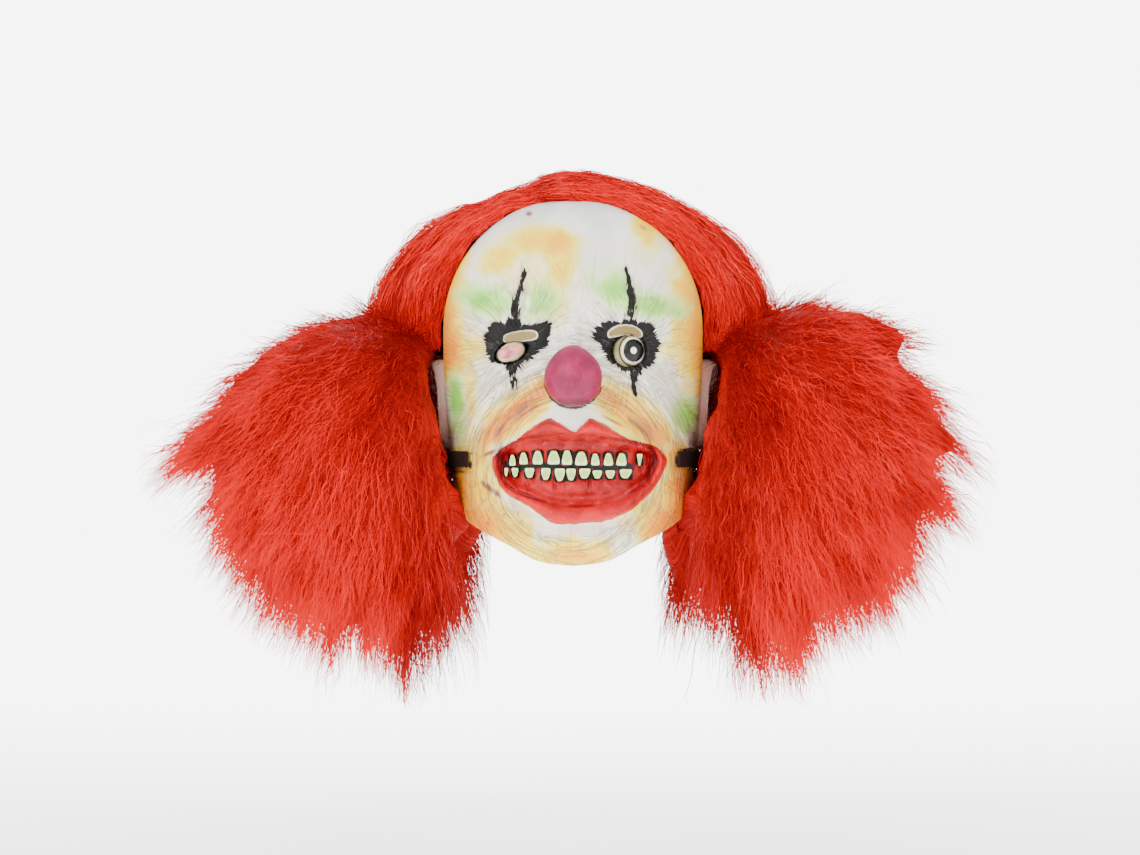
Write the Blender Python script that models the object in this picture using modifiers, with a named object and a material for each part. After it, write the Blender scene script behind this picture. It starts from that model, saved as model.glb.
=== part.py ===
"""Latex clown mask with a red fibre hair cap and two side bunches.

Metres, +Z up. The face looks along -Y, and +X is the viewer's right.
The origin is the inside of the crown, where a head carries the mask.
"""
import math
from collections import namedtuple

import bmesh
import bpy
from mathutils import Matrix, Vector

# Hood: the widest section is at the temples, the crown is a half ellipsoid above it
WALL = 0.0025
HALF_WIDTH = 0.094
CROWN_RISE = 0.0975
CHIN_DROP = 0.169
FRONT_DEPTH = 0.104
BACK_DEPTH = 0.118
SECTION_POWER = 2.2
TEMPLE_Z = WALL - CROWN_RISE
PIECE_GAP = 0.0004

# Relief cast in the face; it fades out towards the sides between two shares of the front's depth
RELIEF = 0.010
RELIEF_FADE = (0.10, 0.42)
MOUTH_X = 0.002
MOUTH_DROP = 0.101
MOUTH_HALF_WIDTH = 0.0576
MOUTH_HALF_HEIGHT = 0.0256
LIP_SIDE = 0.0036
LIP_HEIGHT = 0.0119
LIP_RISE = 0.0075
LIP_ROUND = 0.7
MOUTH_DEPTH = 0.0085
MOUTH_SLOPE = 0.28
SMILE = 0.009

# Openings cut through the wall
PEEP_LENGTH = 0.023
PEEP_HEIGHT = 0.0062
SLOT_LENGTH = 0.0045
SLOT_WIDTH = 0.0016

# Pieces set on the face
NOSE_RADIUS = 0.0210
NOSE_PEAK = 0.0030
NOSE_DROP = 0.0364
NOSE_STAND = 0.0110
EYE_RADIUS = 0.0122
EYE_STAND = 0.0050
TOOTH_HEIGHT = 0.0115
TOOTH_STAND = 0.0062
TOOTH_SINK = 0.0025
TOOTH_ROUND = 0.0012
BITE_RISE = 0.0016
BITE_GAP = 0.0009

# Ears
EAR_HEIGHT = 0.064
EAR_LENGTH = 0.034
EAR_BACK = 0.012
EAR_DROP = 0.055
EAR_STAND = 0.0125
EAR_SINK = 0.003
EAR_SEAT = 0.96
EAR_REAR_TURN = 0.35
EAR_REAR_BLEND = 0.9

# Strap
STRAP_WIDTH = 0.011
STRAP_THICKNESS = 0.0016
STRAP_DROP = 0.094
STRAP_FRONT_ANGLE = 54.0

# Hair cap
HAIR_GAP = 0.0007
BACKING_GAP = 0.0013
PILE_TOP = 0.0095
PILE_SIDE = 0.050
PARTING_X = -0.019
PARTING_STEP = 0.0055
PARTING_BLEND = 0.012
PILE_LEAN = (18.0, 83.0)
HAIRLINE_ANGLE = 17.0
NAPE_ANGLE = 127.0
NAPE_SPREAD = 8.0
GATHER_ANGLE = 79.0
GATHER_TILT_INNER = 0.32
GATHER_TILT_OUTER = 0.12
CAP_LOCKS = 9
CAP_LOCK_DEPTH = 0.0032
CAP_LOCK_LEAST = 0.6
CAP_EDGE = 0.45
CAP_EDGE_SLOPE = 5.0

# Side bunches
ROOT_OUT = 0.024
ROOT_BACK = 0.004
ROOT_DROP = 0.006
BUNCH_REACH = 0.217
BUNCH_DROP = 0.270
BUNCH_DEPTH = 0.100
LOCK_GIRTH = 0.023
BUNCH_GRAIN = 0.0065
BUNCH_SHARE = 0.061
SIDE_CLEARANCE = 0.0145

# Facets
FRONT_COLUMNS = 28
BACK_COLUMNS = 10
COLUMN_CROWDING = 0.26
JAW_ROWS = 21
CROWN_ROWS = 8
PEEP_SEGMENTS = 16
SLOT_SEGMENTS = 12
BALL_COLUMNS = 16
BALL_ROWS = 10
EAR_COLUMNS = 16
STRAP_STEPS = 28
STRAP_HEADING_STEP = 0.01
CAP_COLUMNS = 13
CAP_ROWS = 28
SIDE_COLUMNS = 32
SIDE_ROWS = 6
LOCK_SIDES = 6
SEARCH_STEPS = 30

# Sections of the hood below the temples, as shares of CHIN_DROP, HALF_WIDTH and the two depths
Section = namedtuple("Section", "drop width front back")
SECTIONS = (
    Section(0.00, 1.000, 1.00, 1.00),
    Section(0.15, 0.998, 0.99, 0.98),
    Section(0.35, 0.979, 0.96, 0.94),
    Section(0.52, 0.950, 0.94, 0.88),
    Section(0.70, 0.915, 0.92, 0.82),
    Section(0.86, 0.885, 0.89, 0.78),
    Section(1.00, 0.860, 0.80, 0.76),
)

# Lower edge of the hood: degrees round from the chin, and depth as a share of CHIN_DROP
RimPoint = namedtuple("RimPoint", "angle drop")
RIM = (
    RimPoint(0, 1.000),
    RimPoint(16, 0.980),
    RimPoint(33, 0.911),
    RimPoint(52, 0.850),
    RimPoint(69, 0.795),
    RimPoint(85, 0.700),
    RimPoint(105, 0.670),
    RimPoint(180, 0.680),
)

# Soft relief: places and half sizes as shares of HALF_WIDTH and CHIN_DROP, rise as a share of RELIEF
Bump = namedtuple("Bump", "across drop half_width half_height turn rise")
BUMPS = {
    "brow_left": Bump(-0.44, -0.120, 0.26, 0.055, 0, 0.80),
    "brow_right": Bump(0.44, -0.115, 0.26, 0.055, 0, 0.80),
    "frown": Bump(0.00, -0.080, 0.14, 0.110, 0, 0.50),
    "socket_left": Bump(-0.41, 0.045, 0.23, 0.080, 14, -1.20),
    "socket_right": Bump(0.42, 0.090, 0.23, 0.085, 0, -1.20),
    "cheek_left": Bump(-0.70, 0.290, 0.22, 0.120, 0, 0.90),
    "cheek_right": Bump(0.70, 0.290, 0.22, 0.120, 0, 0.90),
    "bridge": Bump(0.00, 0.070, 0.11, 0.110, 0, 0.90),
    "nostrils": Bump(0.00, 0.260, 0.24, 0.080, 0, 0.80),
    "muzzle": Bump(0.00, 0.420, 0.42, 0.090, 0, 0.60),
    "fold_left": Bump(-0.48, 0.385, 0.34, 0.034, 43, -0.65),
    "fold_right": Bump(0.40, 0.380, 0.34, 0.034, -34, -0.65),
    "lip_groove": Bump(0.02, 0.830, 0.45, 0.030, 0, -0.45),
    "chin": Bump(0.03, 0.915, 0.32, 0.055, 0, 0.80),
    "jowl_left": Bump(-0.76, 0.700, 0.16, 0.110, 0, 0.45),
    "jowl_right": Bump(0.76, 0.700, 0.16, 0.110, 0, 0.45),
}

# Peep slits: middle as shares of HALF_WIDTH and CHIN_DROP, and their slant in degrees
Peep = namedtuple("Peep", "across drop slant")
PEEPS = {"left": Peep(-0.398, 0.0415, 12), "right": Peep(0.383, 0.020, 4)}

# Eyes set in the sockets: middle as shares, and size against EYE_RADIUS
Eye = namedtuple("Eye", "across drop size")
EYES = {"left": Eye(-0.450, 0.118, 0.80), "right": Eye(0.414, 0.103, 1.00)}

# Teeth: middle and width as shares of MOUTH_HALF_WIDTH, height and distance from the bite
# line as shares of TOOTH_HEIGHT
Tooth = namedtuple("Tooth", "across width height clear")
UPPER_TEETH = (
    Tooth(-0.785, 0.087, 0.75, 0.00),
    Tooth(-0.648, 0.113, 0.82, 0.08),
    Tooth(-0.472, 0.137, 0.94, 0.08),
    Tooth(-0.273, 0.163, 0.94, 0.08),
    Tooth(-0.109, 0.137, 1.00, 0.05),
    Tooth(0.066, 0.163, 0.94, 0.02),
    Tooth(0.240, 0.113, 0.82, 0.02),
    Tooth(0.403, 0.125, 0.87, 0.00),
    Tooth(0.566, 0.137, 0.87, 0.00),
    Tooth(0.790, 0.075, 0.82, 0.00),
)
LOWER_TEETH = (
    Tooth(-0.862, 0.050, 0.57, 0.00),
    Tooth(-0.753, 0.087, 0.63, 0.00),
    Tooth(-0.573, 0.125, 0.69, 0.00),
    Tooth(-0.372, 0.125, 0.82, 0.00),
    Tooth(-0.198, 0.137, 0.88, 0.02),
    Tooth(-0.059, 0.125, 0.82, 0.03),
    Tooth(0.109, 0.149, 0.69, 0.03),
    Tooth(0.266, 0.125, 0.57, 0.15),
    Tooth(0.427, 0.125, 0.57, 0.15),
    Tooth(0.615, 0.163, 0.63, 0.08),
)

# Ear rings from the middle out: radius share, and stand of the front and rear as shares of EAR_STAND
EarRing = namedtuple("EarRing", "radius front rear")
EAR_RINGS = (
    EarRing(0.40, 0.30, 0.25),
    EarRing(0.68, 0.30, 0.45),
    EarRing(0.84, 0.42, 0.98),
    EarRing(0.97, 0.36, 1.00),
    EarRing(1.00, 0.20, 0.72),
)

# Lock tips in the outline of each bunch: reach out and down from the root, as shares of
# BUNCH_REACH and BUNCH_DROP, and thickness against LOCK_GIRTH
Tip = namedtuple("Tip", "out down girth")
LEFT_TIPS = (
    Tip(0.36, -0.09, 0.80),
    Tip(0.62, 0.00, 1.00),
    Tip(0.81, 0.11, 1.05),
    Tip(1.00, 0.35, 1.10),
    Tip(0.89, 0.48, 0.95),
    Tip(0.81, 0.59, 1.00),
    Tip(0.69, 0.65, 0.95),
    Tip(0.53, 0.82, 1.00),
    Tip(0.43, 0.96, 1.05),
    Tip(0.27, 0.90, 1.00),
    Tip(0.145, 1.00, 1.10),
    Tip(0.00, 0.87, 1.00),
    Tip(-0.07, 0.76, 0.95),
    Tip(-0.15, 0.60, 0.85),
)
RIGHT_TIPS = (
    Tip(0.31, -0.06, 0.80),
    Tip(0.58, -0.10, 1.00),
    Tip(0.77, -0.02, 1.05),
    Tip(0.87, 0.16, 1.05),
    Tip(0.97, 0.34, 1.10),
    Tip(0.92, 0.50, 1.00),
    Tip(0.80, 0.68, 1.05),
    Tip(0.69, 0.79, 1.00),
    Tip(0.44, 0.86, 0.95),
    Tip(0.36, 0.96, 1.00),
    Tip(0.205, 0.99, 1.10),
    Tip(0.04, 0.84, 1.00),
    Tip(-0.09, 0.79, 0.95),
    Tip(-0.15, 0.62, 0.85),
)

# Layers of locks from front to back: forward as a share of BUNCH_DEPTH, size of the fan,
# and which tips of the outline they repeat
Layer = namedtuple("Layer", "forward spread every start")
LAYERS = (
    Layer(0.00, 1.00, 1, 0),
    Layer(0.48, 0.93, 2, 1),
    Layer(-0.48, 0.93, 2, 1),
    Layer(0.82, 0.74, 2, 0),
    Layer(-0.82, 0.74, 2, 0),
    Layer(1.00, 0.40, 3, 1),
    Layer(-1.00, 0.40, 3, 1),
)
BUNCH_MIDDLE = Tip(0.42, 0.42, 0)
BUNCH_CORE = (0.38, 0.76, 0.38)

# Where a lock bends, as shares of its tip's place out, down and forward
Swell = namedtuple("Swell", "out down forward")
LOCK_SWELL = Swell(0.62, 0.40, 0.95)

# A lock's girth from its root to near its tip, both as shares
Station = namedtuple("Station", "along girth")
LOCK_STATIONS = (
    Station(0.00, 0.85),
    Station(0.18, 0.90),
    Station(0.42, 1.00),
    Station(0.66, 0.95),
    Station(0.84, 0.62),
    Station(0.94, 0.32),
)

Finish = namedtuple("Finish", "color roughness")
FINISHES = {
    "face_latex": Finish((0.80, 0.76, 0.64, 1), 0.55),
    "nose_latex": Finish((0.50, 0.05, 0.13, 1), 0.40),
    "eye_enamel": Finish((0.72, 0.68, 0.48, 1), 0.25),
    "tooth_enamel": Finish((0.62, 0.70, 0.45, 1), 0.30),
    "strap_webbing": Finish((0.05, 0.03, 0.02, 1), 0.80),
    "red_fibre": Finish((0.62, 0.03, 0.02, 1), 0.70),
}


def clear_scene():
    for old in list(bpy.data.objects):
        bpy.data.objects.remove(old, do_unlink=True)


def new_collection(name):
    collection = bpy.data.collections.new(name)
    bpy.context.scene.collection.children.link(collection)
    return collection


def make_material(name):
    material = bpy.data.materials.new(name)
    material.use_nodes = True
    shader = material.node_tree.nodes["Principled BSDF"]
    shader.inputs["Base Color"].default_value = FINISHES[name].color
    shader.inputs["Roughness"].default_value = FINISHES[name].roughness
    material.diffuse_color = FINISHES[name].color
    return material


def make_object(name, bm, collection, material=None):
    mesh = bpy.data.meshes.new(name)
    bm.to_mesh(mesh)
    bm.free()
    mesh.shade_smooth()
    piece = bpy.data.objects.new(name, mesh)
    collection.objects.link(piece)
    if material:
        mesh.materials.append(material)
    return piece


def make_cutter(name, bm, collection):
    cutter = make_object(name, bm, collection)
    cutter.hide_render = True
    cutter.display_type = "WIRE"
    return cutter


def cut(piece, cutter, solver="EXACT"):
    boolean = piece.modifiers.new("cut " + cutter.name, "BOOLEAN")
    boolean.operation = "DIFFERENCE"
    boolean.solver = solver
    boolean.object = cutter


def smoothstep(low, high, value):
    t = min(1.0, max(0.0, (value - low) / (high - low)))
    return t * t * (3.0 - 2.0 * t)


def grow_surface(bm, grow):
    """Fix the facets, then move every point outwards along its normal."""
    bmesh.ops.triangulate(bm, faces=bm.faces[:])
    bm.normal_update()
    for vert, normal in [(v, v.normal.copy()) for v in bm.verts]:
        vert.co += normal * grow


def signed_power(value, power):
    return math.copysign(abs(value) ** power, value)


def read_table(rows, key, column, at):
    """Value of a column at a place between rows, on a smooth curve through them."""
    places = [getattr(row, key) for row in rows]
    values = [getattr(row, column) for row in rows]
    at = min(places[-1], max(places[0], at))
    last = len(rows) - 1
    i = min(last - 1, max(k for k in range(len(rows)) if places[k] <= at))

    def slope(k):
        a, b = max(0, k - 1), min(last, k + 1)
        return (values[b] - values[a]) / (places[b] - places[a])

    span = places[i + 1] - places[i]
    t = (at - places[i]) / span
    rise = values[i + 1] - values[i]
    bend_in, bend_out = slope(i) * span, slope(i + 1) * span
    return (values[i] + t * bend_in + t * t * (3 * rise - 2 * bend_in - bend_out)
            + t * t * t * (bend_in + bend_out - 2 * rise))


# The hood's form

def section(z):
    """Half width, front depth and back depth of the hood at a height."""
    if z >= TEMPLE_Z:
        up = min(1.0, (z - TEMPLE_Z) / CROWN_RISE)
        share = math.sqrt(1.0 - up * up)
        return HALF_WIDTH * share, FRONT_DEPTH * share, BACK_DEPTH * share
    drop = (TEMPLE_Z - z) / CHIN_DROP
    return (HALF_WIDTH * read_table(SECTIONS, "drop", "width", drop),
            FRONT_DEPTH * read_table(SECTIONS, "drop", "front", drop),
            BACK_DEPTH * read_table(SECTIONS, "drop", "back", drop))


def mouth_relief(x, z):
    """Rolled lips round a sunken mouth, both lifted at the corners."""
    across = x - MOUTH_X
    up = z - (TEMPLE_Z - MOUTH_DROP) - SMILE * (across / MOUTH_HALF_WIDTH) ** 2
    inner = math.hypot(across / MOUTH_HALF_WIDTH, up / MOUTH_HALF_HEIGHT)
    outer = math.hypot(across / (MOUTH_HALF_WIDTH + LIP_SIDE), up / (MOUTH_HALF_HEIGHT + LIP_HEIGHT))
    if inner < 1.0:
        return -MOUTH_DEPTH * smoothstep(0.0, MOUTH_SLOPE, 1.0 - inner)
    if outer > 1.0:
        return 0.0
    place = (inner - 1.0) / (inner - outer)
    return LIP_RISE * math.sin(math.pi * place) ** LIP_ROUND


def relief(x, z):
    """How far the face stands forward of the plain hood."""
    total = mouth_relief(x, z)
    for bump in BUMPS.values():
        turn = math.radians(bump.turn)
        dx = x - bump.across * HALF_WIDTH
        dz = z - (TEMPLE_Z - bump.drop * CHIN_DROP)
        along = (dx * math.cos(turn) + dz * math.sin(turn)) / (bump.half_width * HALF_WIDTH)
        beside = (dz * math.cos(turn) - dx * math.sin(turn)) / (bump.half_height * CHIN_DROP)
        total += bump.rise * RELIEF * math.exp(-along * along - beside * beside)
    return total


def hood_point(angle, z):
    """Point of the outer surface, angle in radians round from the front."""
    width, front, back = section(z)
    power = 2.0 / SECTION_POWER
    x = width * signed_power(math.sin(angle), power)
    y = -signed_power(math.cos(angle), power) * (front if math.cos(angle) > 0 else back)
    facing = smoothstep(*RELIEF_FADE, math.cos(angle))
    return Vector((x, y - facing * relief(x, z), z))


def face_y(x, z):
    """Depth of the face at a place seen from the front."""
    width, front, _ = section(z)
    share = max(0.0, 1.0 - abs(x / width) ** SECTION_POWER) ** (1.0 / SECTION_POWER)
    facing = smoothstep(*RELIEF_FADE, share)
    return -front * share - facing * relief(x, z)


def side_x(y, z):
    """Half width of the hood at a place seen from the side."""
    width, front, back = section(z)
    depth = front if y < 0 else back
    return width * max(0.0, 1.0 - abs(y / depth) ** SECTION_POWER) ** (1.0 / SECTION_POWER)


def rim_z(angle):
    around = abs(math.degrees(math.atan2(math.sin(angle), math.cos(angle))))
    return TEMPLE_Z - CHIN_DROP * read_table(RIM, "angle", "drop", around)


def column_angles():
    """Columns round the hood, closest together at the middle of the face."""
    half = FRONT_COLUMNS // 2
    front = []
    for k in range(-half, half + 1):
        u = k / half
        front.append(math.radians(90.0 * (u - COLUMN_CROWDING * (u - u ** 3))))
    back = [math.radians(90.0 + 180.0 * k / BACK_COLUMNS) for k in range(1, BACK_COLUMNS)]
    return front + back


def row_heights(angle):
    """Heights of one column's points, from the lower edge to just below the pole."""
    low = rim_z(angle)
    jaw = [low + (TEMPLE_Z - low) * k / JAW_ROWS for k in range(JAW_ROWS)]
    crown = [TEMPLE_Z + CROWN_RISE * math.sin(math.pi / 2 * k / CROWN_ROWS) for k in range(CROWN_ROWS)]
    return jaw + crown


def hood_surface(grow=0.0):
    """Open outer surface of the hood, grown outwards by a gap."""
    bm = bmesh.new()
    columns = [[bm.verts.new(hood_point(angle, z)) for z in row_heights(angle)]
               for angle in column_angles()]
    pole = bm.verts.new((0, 0, TEMPLE_Z + CROWN_RISE))
    count = len(columns)
    for j in range(count):
        here, there = columns[j], columns[(j + 1) % count]
        for i in range(len(here) - 1):
            bm.faces.new((here[i], there[i], there[i + 1], here[i + 1]))
        bm.faces.new((here[-1], there[-1], pole))
    grow_surface(bm, grow)
    return bm, [column[0] for column in columns]


def hood_clearance():
    """Filled form of the hood, a gap larger all over, that trims what sits on it."""
    bm, rim = hood_surface(PIECE_GAP)
    middle = bm.verts.new(sum((v.co for v in rim), Vector()) / len(rim))
    for j in range(len(rim)):
        bm.faces.new((rim[(j + 1) % len(rim)], rim[j], middle))
    return bm


def peep_cutter(peep):
    """Lens-shaped prism along Y through the face."""
    bm = bmesh.new()
    bmesh.ops.create_cone(bm, cap_ends=True, segments=PEEP_SEGMENTS, radius1=1, radius2=1,
                          depth=FRONT_DEPTH)
    bmesh.ops.rotate(bm, verts=bm.verts, matrix=Matrix.Rotation(math.pi / 2, 3, "X"))
    bmesh.ops.scale(bm, verts=bm.verts, vec=(PEEP_LENGTH / 2, 1, PEEP_HEIGHT / 2))
    bmesh.ops.rotate(bm, verts=bm.verts, matrix=Matrix.Rotation(-math.radians(peep.slant), 3, "Y"))
    place = Vector((peep.across * HALF_WIDTH, -FRONT_DEPTH, TEMPLE_Z - peep.drop * CHIN_DROP))
    bmesh.ops.translate(bm, verts=bm.verts, vec=place)
    return bm


def slot_cutter(side):
    """Upright oval through the cheek where the strap goes in."""
    bm = bmesh.new()
    bmesh.ops.create_cone(bm, cap_ends=True, segments=SLOT_SEGMENTS, radius1=1, radius2=1,
                          depth=FRONT_DEPTH / 2)
    bmesh.ops.rotate(bm, verts=bm.verts, matrix=Matrix.Rotation(math.pi / 2, 3, "X"))
    bmesh.ops.scale(bm, verts=bm.verts, vec=(SLOT_WIDTH / 2, 1, SLOT_LENGTH / 2))
    angle = side * math.radians(STRAP_FRONT_ANGLE)
    bmesh.ops.rotate(bm, verts=bm.verts, matrix=Matrix.Rotation(angle, 3, "Z"))
    entry = hood_point(angle, TEMPLE_Z - STRAP_DROP)
    inward = Vector((-math.sin(angle), math.cos(angle), 0))
    bmesh.ops.translate(bm, verts=bm.verts, vec=entry - inward * SLOT_WIDTH)
    return bm


def build_shell(parts, cutters, material):
    bm, _ = hood_surface()
    shell = make_object("mask_shell", bm, parts, material)
    wall = shell.modifiers.new("wall", "SOLIDIFY")
    wall.thickness = WALL
    wall.offset = -1
    wall.use_even_offset = False
    for side, peep in PEEPS.items():
        cut(shell, make_cutter("peep_cutter_" + side, peep_cutter(peep), cutters))
    for name, side in (("left", -1), ("right", 1)):
        cut(shell, make_cutter("slot_cutter_" + name, slot_cutter(side), cutters))
    return shell


# Pieces on the face

def build_nose(parts, material, clearance):
    bm = bmesh.new()
    bmesh.ops.create_uvsphere(bm, u_segments=BALL_COLUMNS, v_segments=BALL_ROWS, radius=NOSE_RADIUS)
    for vert in bm.verts:
        vert.co.z += NOSE_PEAK * max(0.0, vert.co.z / NOSE_RADIUS) ** 3
    z = TEMPLE_Z - NOSE_DROP
    bmesh.ops.translate(bm, verts=bm.verts, vec=(0, face_y(0, z) - NOSE_STAND, z))
    nose = make_object("nose", bm, parts, material)
    cut(nose, clearance)


def build_eye(name, eye, parts, material, clearance):
    bm = bmesh.new()
    radius = EYE_RADIUS * eye.size
    bmesh.ops.create_uvsphere(bm, u_segments=BALL_COLUMNS, v_segments=BALL_ROWS, radius=radius)
    x, z = eye.across * HALF_WIDTH, TEMPLE_Z - eye.drop * CHIN_DROP
    bmesh.ops.translate(bm, verts=bm.verts, vec=(x, face_y(x, z) + radius - EYE_STAND, z))
    ball = make_object("eye_" + name, bm, parts, material)
    cut(ball, clearance)


def build_tooth(name, tooth, up, parts, material, clearance):
    """One rounded block; up is 1 for the upper row and -1 for the lower."""
    x = MOUTH_X + tooth.across * MOUTH_HALF_WIDTH
    height = tooth.height * TOOTH_HEIGHT
    bite = TEMPLE_Z - MOUTH_DROP + BITE_RISE
    z = bite + up * (BITE_GAP / 2 + tooth.clear * TOOTH_HEIGHT + height / 2)
    depth = TOOTH_STAND + TOOTH_SINK
    bm = bmesh.new()
    bmesh.ops.create_cube(bm, size=1)
    bmesh.ops.scale(bm, verts=bm.verts, vec=(tooth.width * MOUTH_HALF_WIDTH, depth, height))
    bmesh.ops.bevel(bm, geom=bm.edges[:], offset=TOOTH_ROUND, segments=1, affect="EDGES")
    floor = face_y(x, z)
    bmesh.ops.translate(bm, verts=bm.verts, vec=(x, floor + TOOTH_SINK - depth / 2, z))
    solid = make_object(name, bm, parts, material)
    cut(solid, clearance)


def ear_surface(side):
    """Dished oval standing off the hood, its rear edge the highest."""
    bm = bmesh.new()
    middle_z = TEMPLE_Z - EAR_DROP

    def place(radius, around, stand):
        y = EAR_BACK + radius * EAR_LENGTH / 2 * math.cos(around)
        z = middle_z + radius * EAR_HEIGHT / 2 * math.sin(around)
        return bm.verts.new((side * (side_x(y, z) + stand), y, z))

    rings = []
    for ring in EAR_RINGS:
        points = []
        for k in range(EAR_COLUMNS):
            around = 2 * math.pi * k / EAR_COLUMNS
            rear = smoothstep(-EAR_REAR_BLEND, EAR_REAR_BLEND, math.cos(around - EAR_REAR_TURN))
            stand = EAR_STAND * (ring.front + (ring.rear - ring.front) * rear)
            points.append(place(ring.radius, around, stand))
        rings.append(points)
    rings.append([place(EAR_SEAT, 2 * math.pi * k / EAR_COLUMNS, -EAR_SINK)
                  for k in range(EAR_COLUMNS)])
    front = place(0, 0, EAR_STAND * EAR_RINGS[0].front)
    back = place(0, 0, -EAR_SINK)
    for k in range(EAR_COLUMNS):
        n = (k + 1) % EAR_COLUMNS
        bm.faces.new((front, rings[0][k], rings[0][n]))
        for low, high in zip(rings, rings[1:]):
            bm.faces.new((low[k], high[k], high[n], low[n]))
        bm.faces.new((rings[-1][k], back, rings[-1][n]))
    bmesh.ops.recalc_face_normals(bm, faces=bm.faces)
    return bm


def build_ear(name, side, parts, material, clearance):
    ear = make_object("ear_" + name, ear_surface(side), parts, material)
    cut(ear, clearance)


def build_strap(parts, material, clearance):
    """Flat band from one cheek slot round the back of the hood to the other."""
    z = TEMPLE_Z - STRAP_DROP
    start = math.radians(STRAP_FRONT_ANGLE)
    bm = bmesh.new()
    rings = []
    for k in range(STRAP_STEPS + 1):
        angle = start + (2 * math.pi - 2 * start) * k / STRAP_STEPS
        rim = []
        for up, out in ((-1, -1), (1, -1), (1, 1), (-1, 1)):
            height = z + up * STRAP_WIDTH / 2
            at = hood_point(angle, height)
            ahead = hood_point(angle + STRAP_HEADING_STEP, height)
            heading = ahead - hood_point(angle - STRAP_HEADING_STEP, height)
            outward = Vector((heading.y, -heading.x, 0)).normalized()
            away = PIECE_GAP + STRAP_THICKNESS if out > 0 else -STRAP_THICKNESS
            rim.append(bm.verts.new(at + outward * away))
        rings.append(rim)
    for here, there in zip(rings, rings[1:]):
        for k in range(4):
            n = (k + 1) % 4
            bm.faces.new((here[k], there[k], there[n], here[n]))
    bm.faces.new(rings[0])
    bm.faces.new(rings[-1][::-1])
    bmesh.ops.recalc_face_normals(bm, faces=bm.faces)
    strap = make_object("strap", bm, parts, material)
    cut(strap, clearance)


# Hair

def inside_hood(point):
    if point.z >= TEMPLE_Z + CROWN_RISE:
        return False
    width, front, back = section(point.z)
    depth = front if point.y < 0 else back
    return abs(point.x / width) ** SECTION_POWER + abs(point.y / depth) ** SECTION_POWER < 1.0


def hood_radius(direction):
    """Distance from the middle of the head to the hood's plain surface."""
    middle = Vector((0, 0, TEMPLE_Z))
    low, high = 0.0, 2 * (HALF_WIDTH + BACK_DEPTH)
    for _ in range(SEARCH_STEPS):
        half = (low + high) / 2
        if inside_hood(middle + direction * half):
            low = half
        else:
            high = half
    return low


def pile_height(direction, lean):
    """Thickness of the hair cap: low on top, full where it is swept to the gathers."""
    side = smoothstep(*PILE_LEAN, lean)
    past = direction.x * (HALF_WIDTH + CROWN_RISE) / 2 - PARTING_X
    parting = smoothstep(-PARTING_BLEND, PARTING_BLEND, past)
    top = PILE_TOP + PARTING_STEP * parting
    return top + (PILE_SIDE - top) * side


def cap_surface(grow=0.0):
    """Closed hair cap between the hairline and the nape, its strands running ear to ear."""
    middle = Vector((0, 0, TEMPLE_Z))
    bm = bmesh.new()
    inner, outer = [], []
    for i in range(CAP_COLUMNS):
        s = 2 * i / (CAP_COLUMNS - 1) - 1
        lean = math.radians(GATHER_ANGLE * s)
        nape = NAPE_ANGLE + NAPE_SPREAD * s * s
        inner_row, outer_row = [], []
        for j in range(CAP_ROWS):
            u = j / (CAP_ROWS - 1)
            turn = math.radians(HAIRLINE_ANGLE - (HAIRLINE_ANGLE + nape) * u)
            direction = Vector((math.sin(lean), -math.cos(lean) * math.sin(turn),
                                math.cos(lean) * math.cos(turn)))
            sag = s ** 4 * (1 + math.cos(turn)) / 2
            inward = (direction - Vector((0, 0, GATHER_TILT_INNER * sag))).normalized()
            outward = (direction - Vector((0, 0, GATHER_TILT_OUTER * sag))).normalized()
            edge = min(1.0, CAP_EDGE + CAP_EDGE_SLOPE * min(u, 1 - u))
            lock = CAP_LOCK_DEPTH * CAP_LOCK_LEAST * (1 + abs(s)) * math.cos(2 * math.pi * CAP_LOCKS * u)
            pile = pile_height(direction, abs(math.degrees(lean))) * edge + lock
            inner_row.append(bm.verts.new(middle + inward * (hood_radius(inward) + BACKING_GAP)))
            outer_row.append(bm.verts.new(middle + outward * (hood_radius(outward) + pile)))
        inner.append(inner_row)
        outer.append(outer_row)
    for i in range(CAP_COLUMNS - 1):
        for j in range(CAP_ROWS - 1):
            bm.faces.new((outer[i][j], outer[i + 1][j], outer[i + 1][j + 1], outer[i][j + 1]))
            bm.faces.new((inner[i][j], inner[i][j + 1], inner[i + 1][j + 1], inner[i + 1][j]))
    for j in range(CAP_ROWS - 1):
        bm.faces.new((outer[0][j], outer[0][j + 1], inner[0][j + 1], inner[0][j]))
        bm.faces.new((outer[-1][j + 1], outer[-1][j], inner[-1][j], inner[-1][j + 1]))
    for i in range(CAP_COLUMNS - 1):
        bm.faces.new((outer[i + 1][0], outer[i][0], inner[i][0], inner[i + 1][0]))
        bm.faces.new((outer[i][-1], outer[i + 1][-1], inner[i + 1][-1], inner[i][-1]))
    bmesh.ops.recalc_face_normals(bm, faces=bm.faces)
    grow_surface(bm, grow)
    return bm


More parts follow.
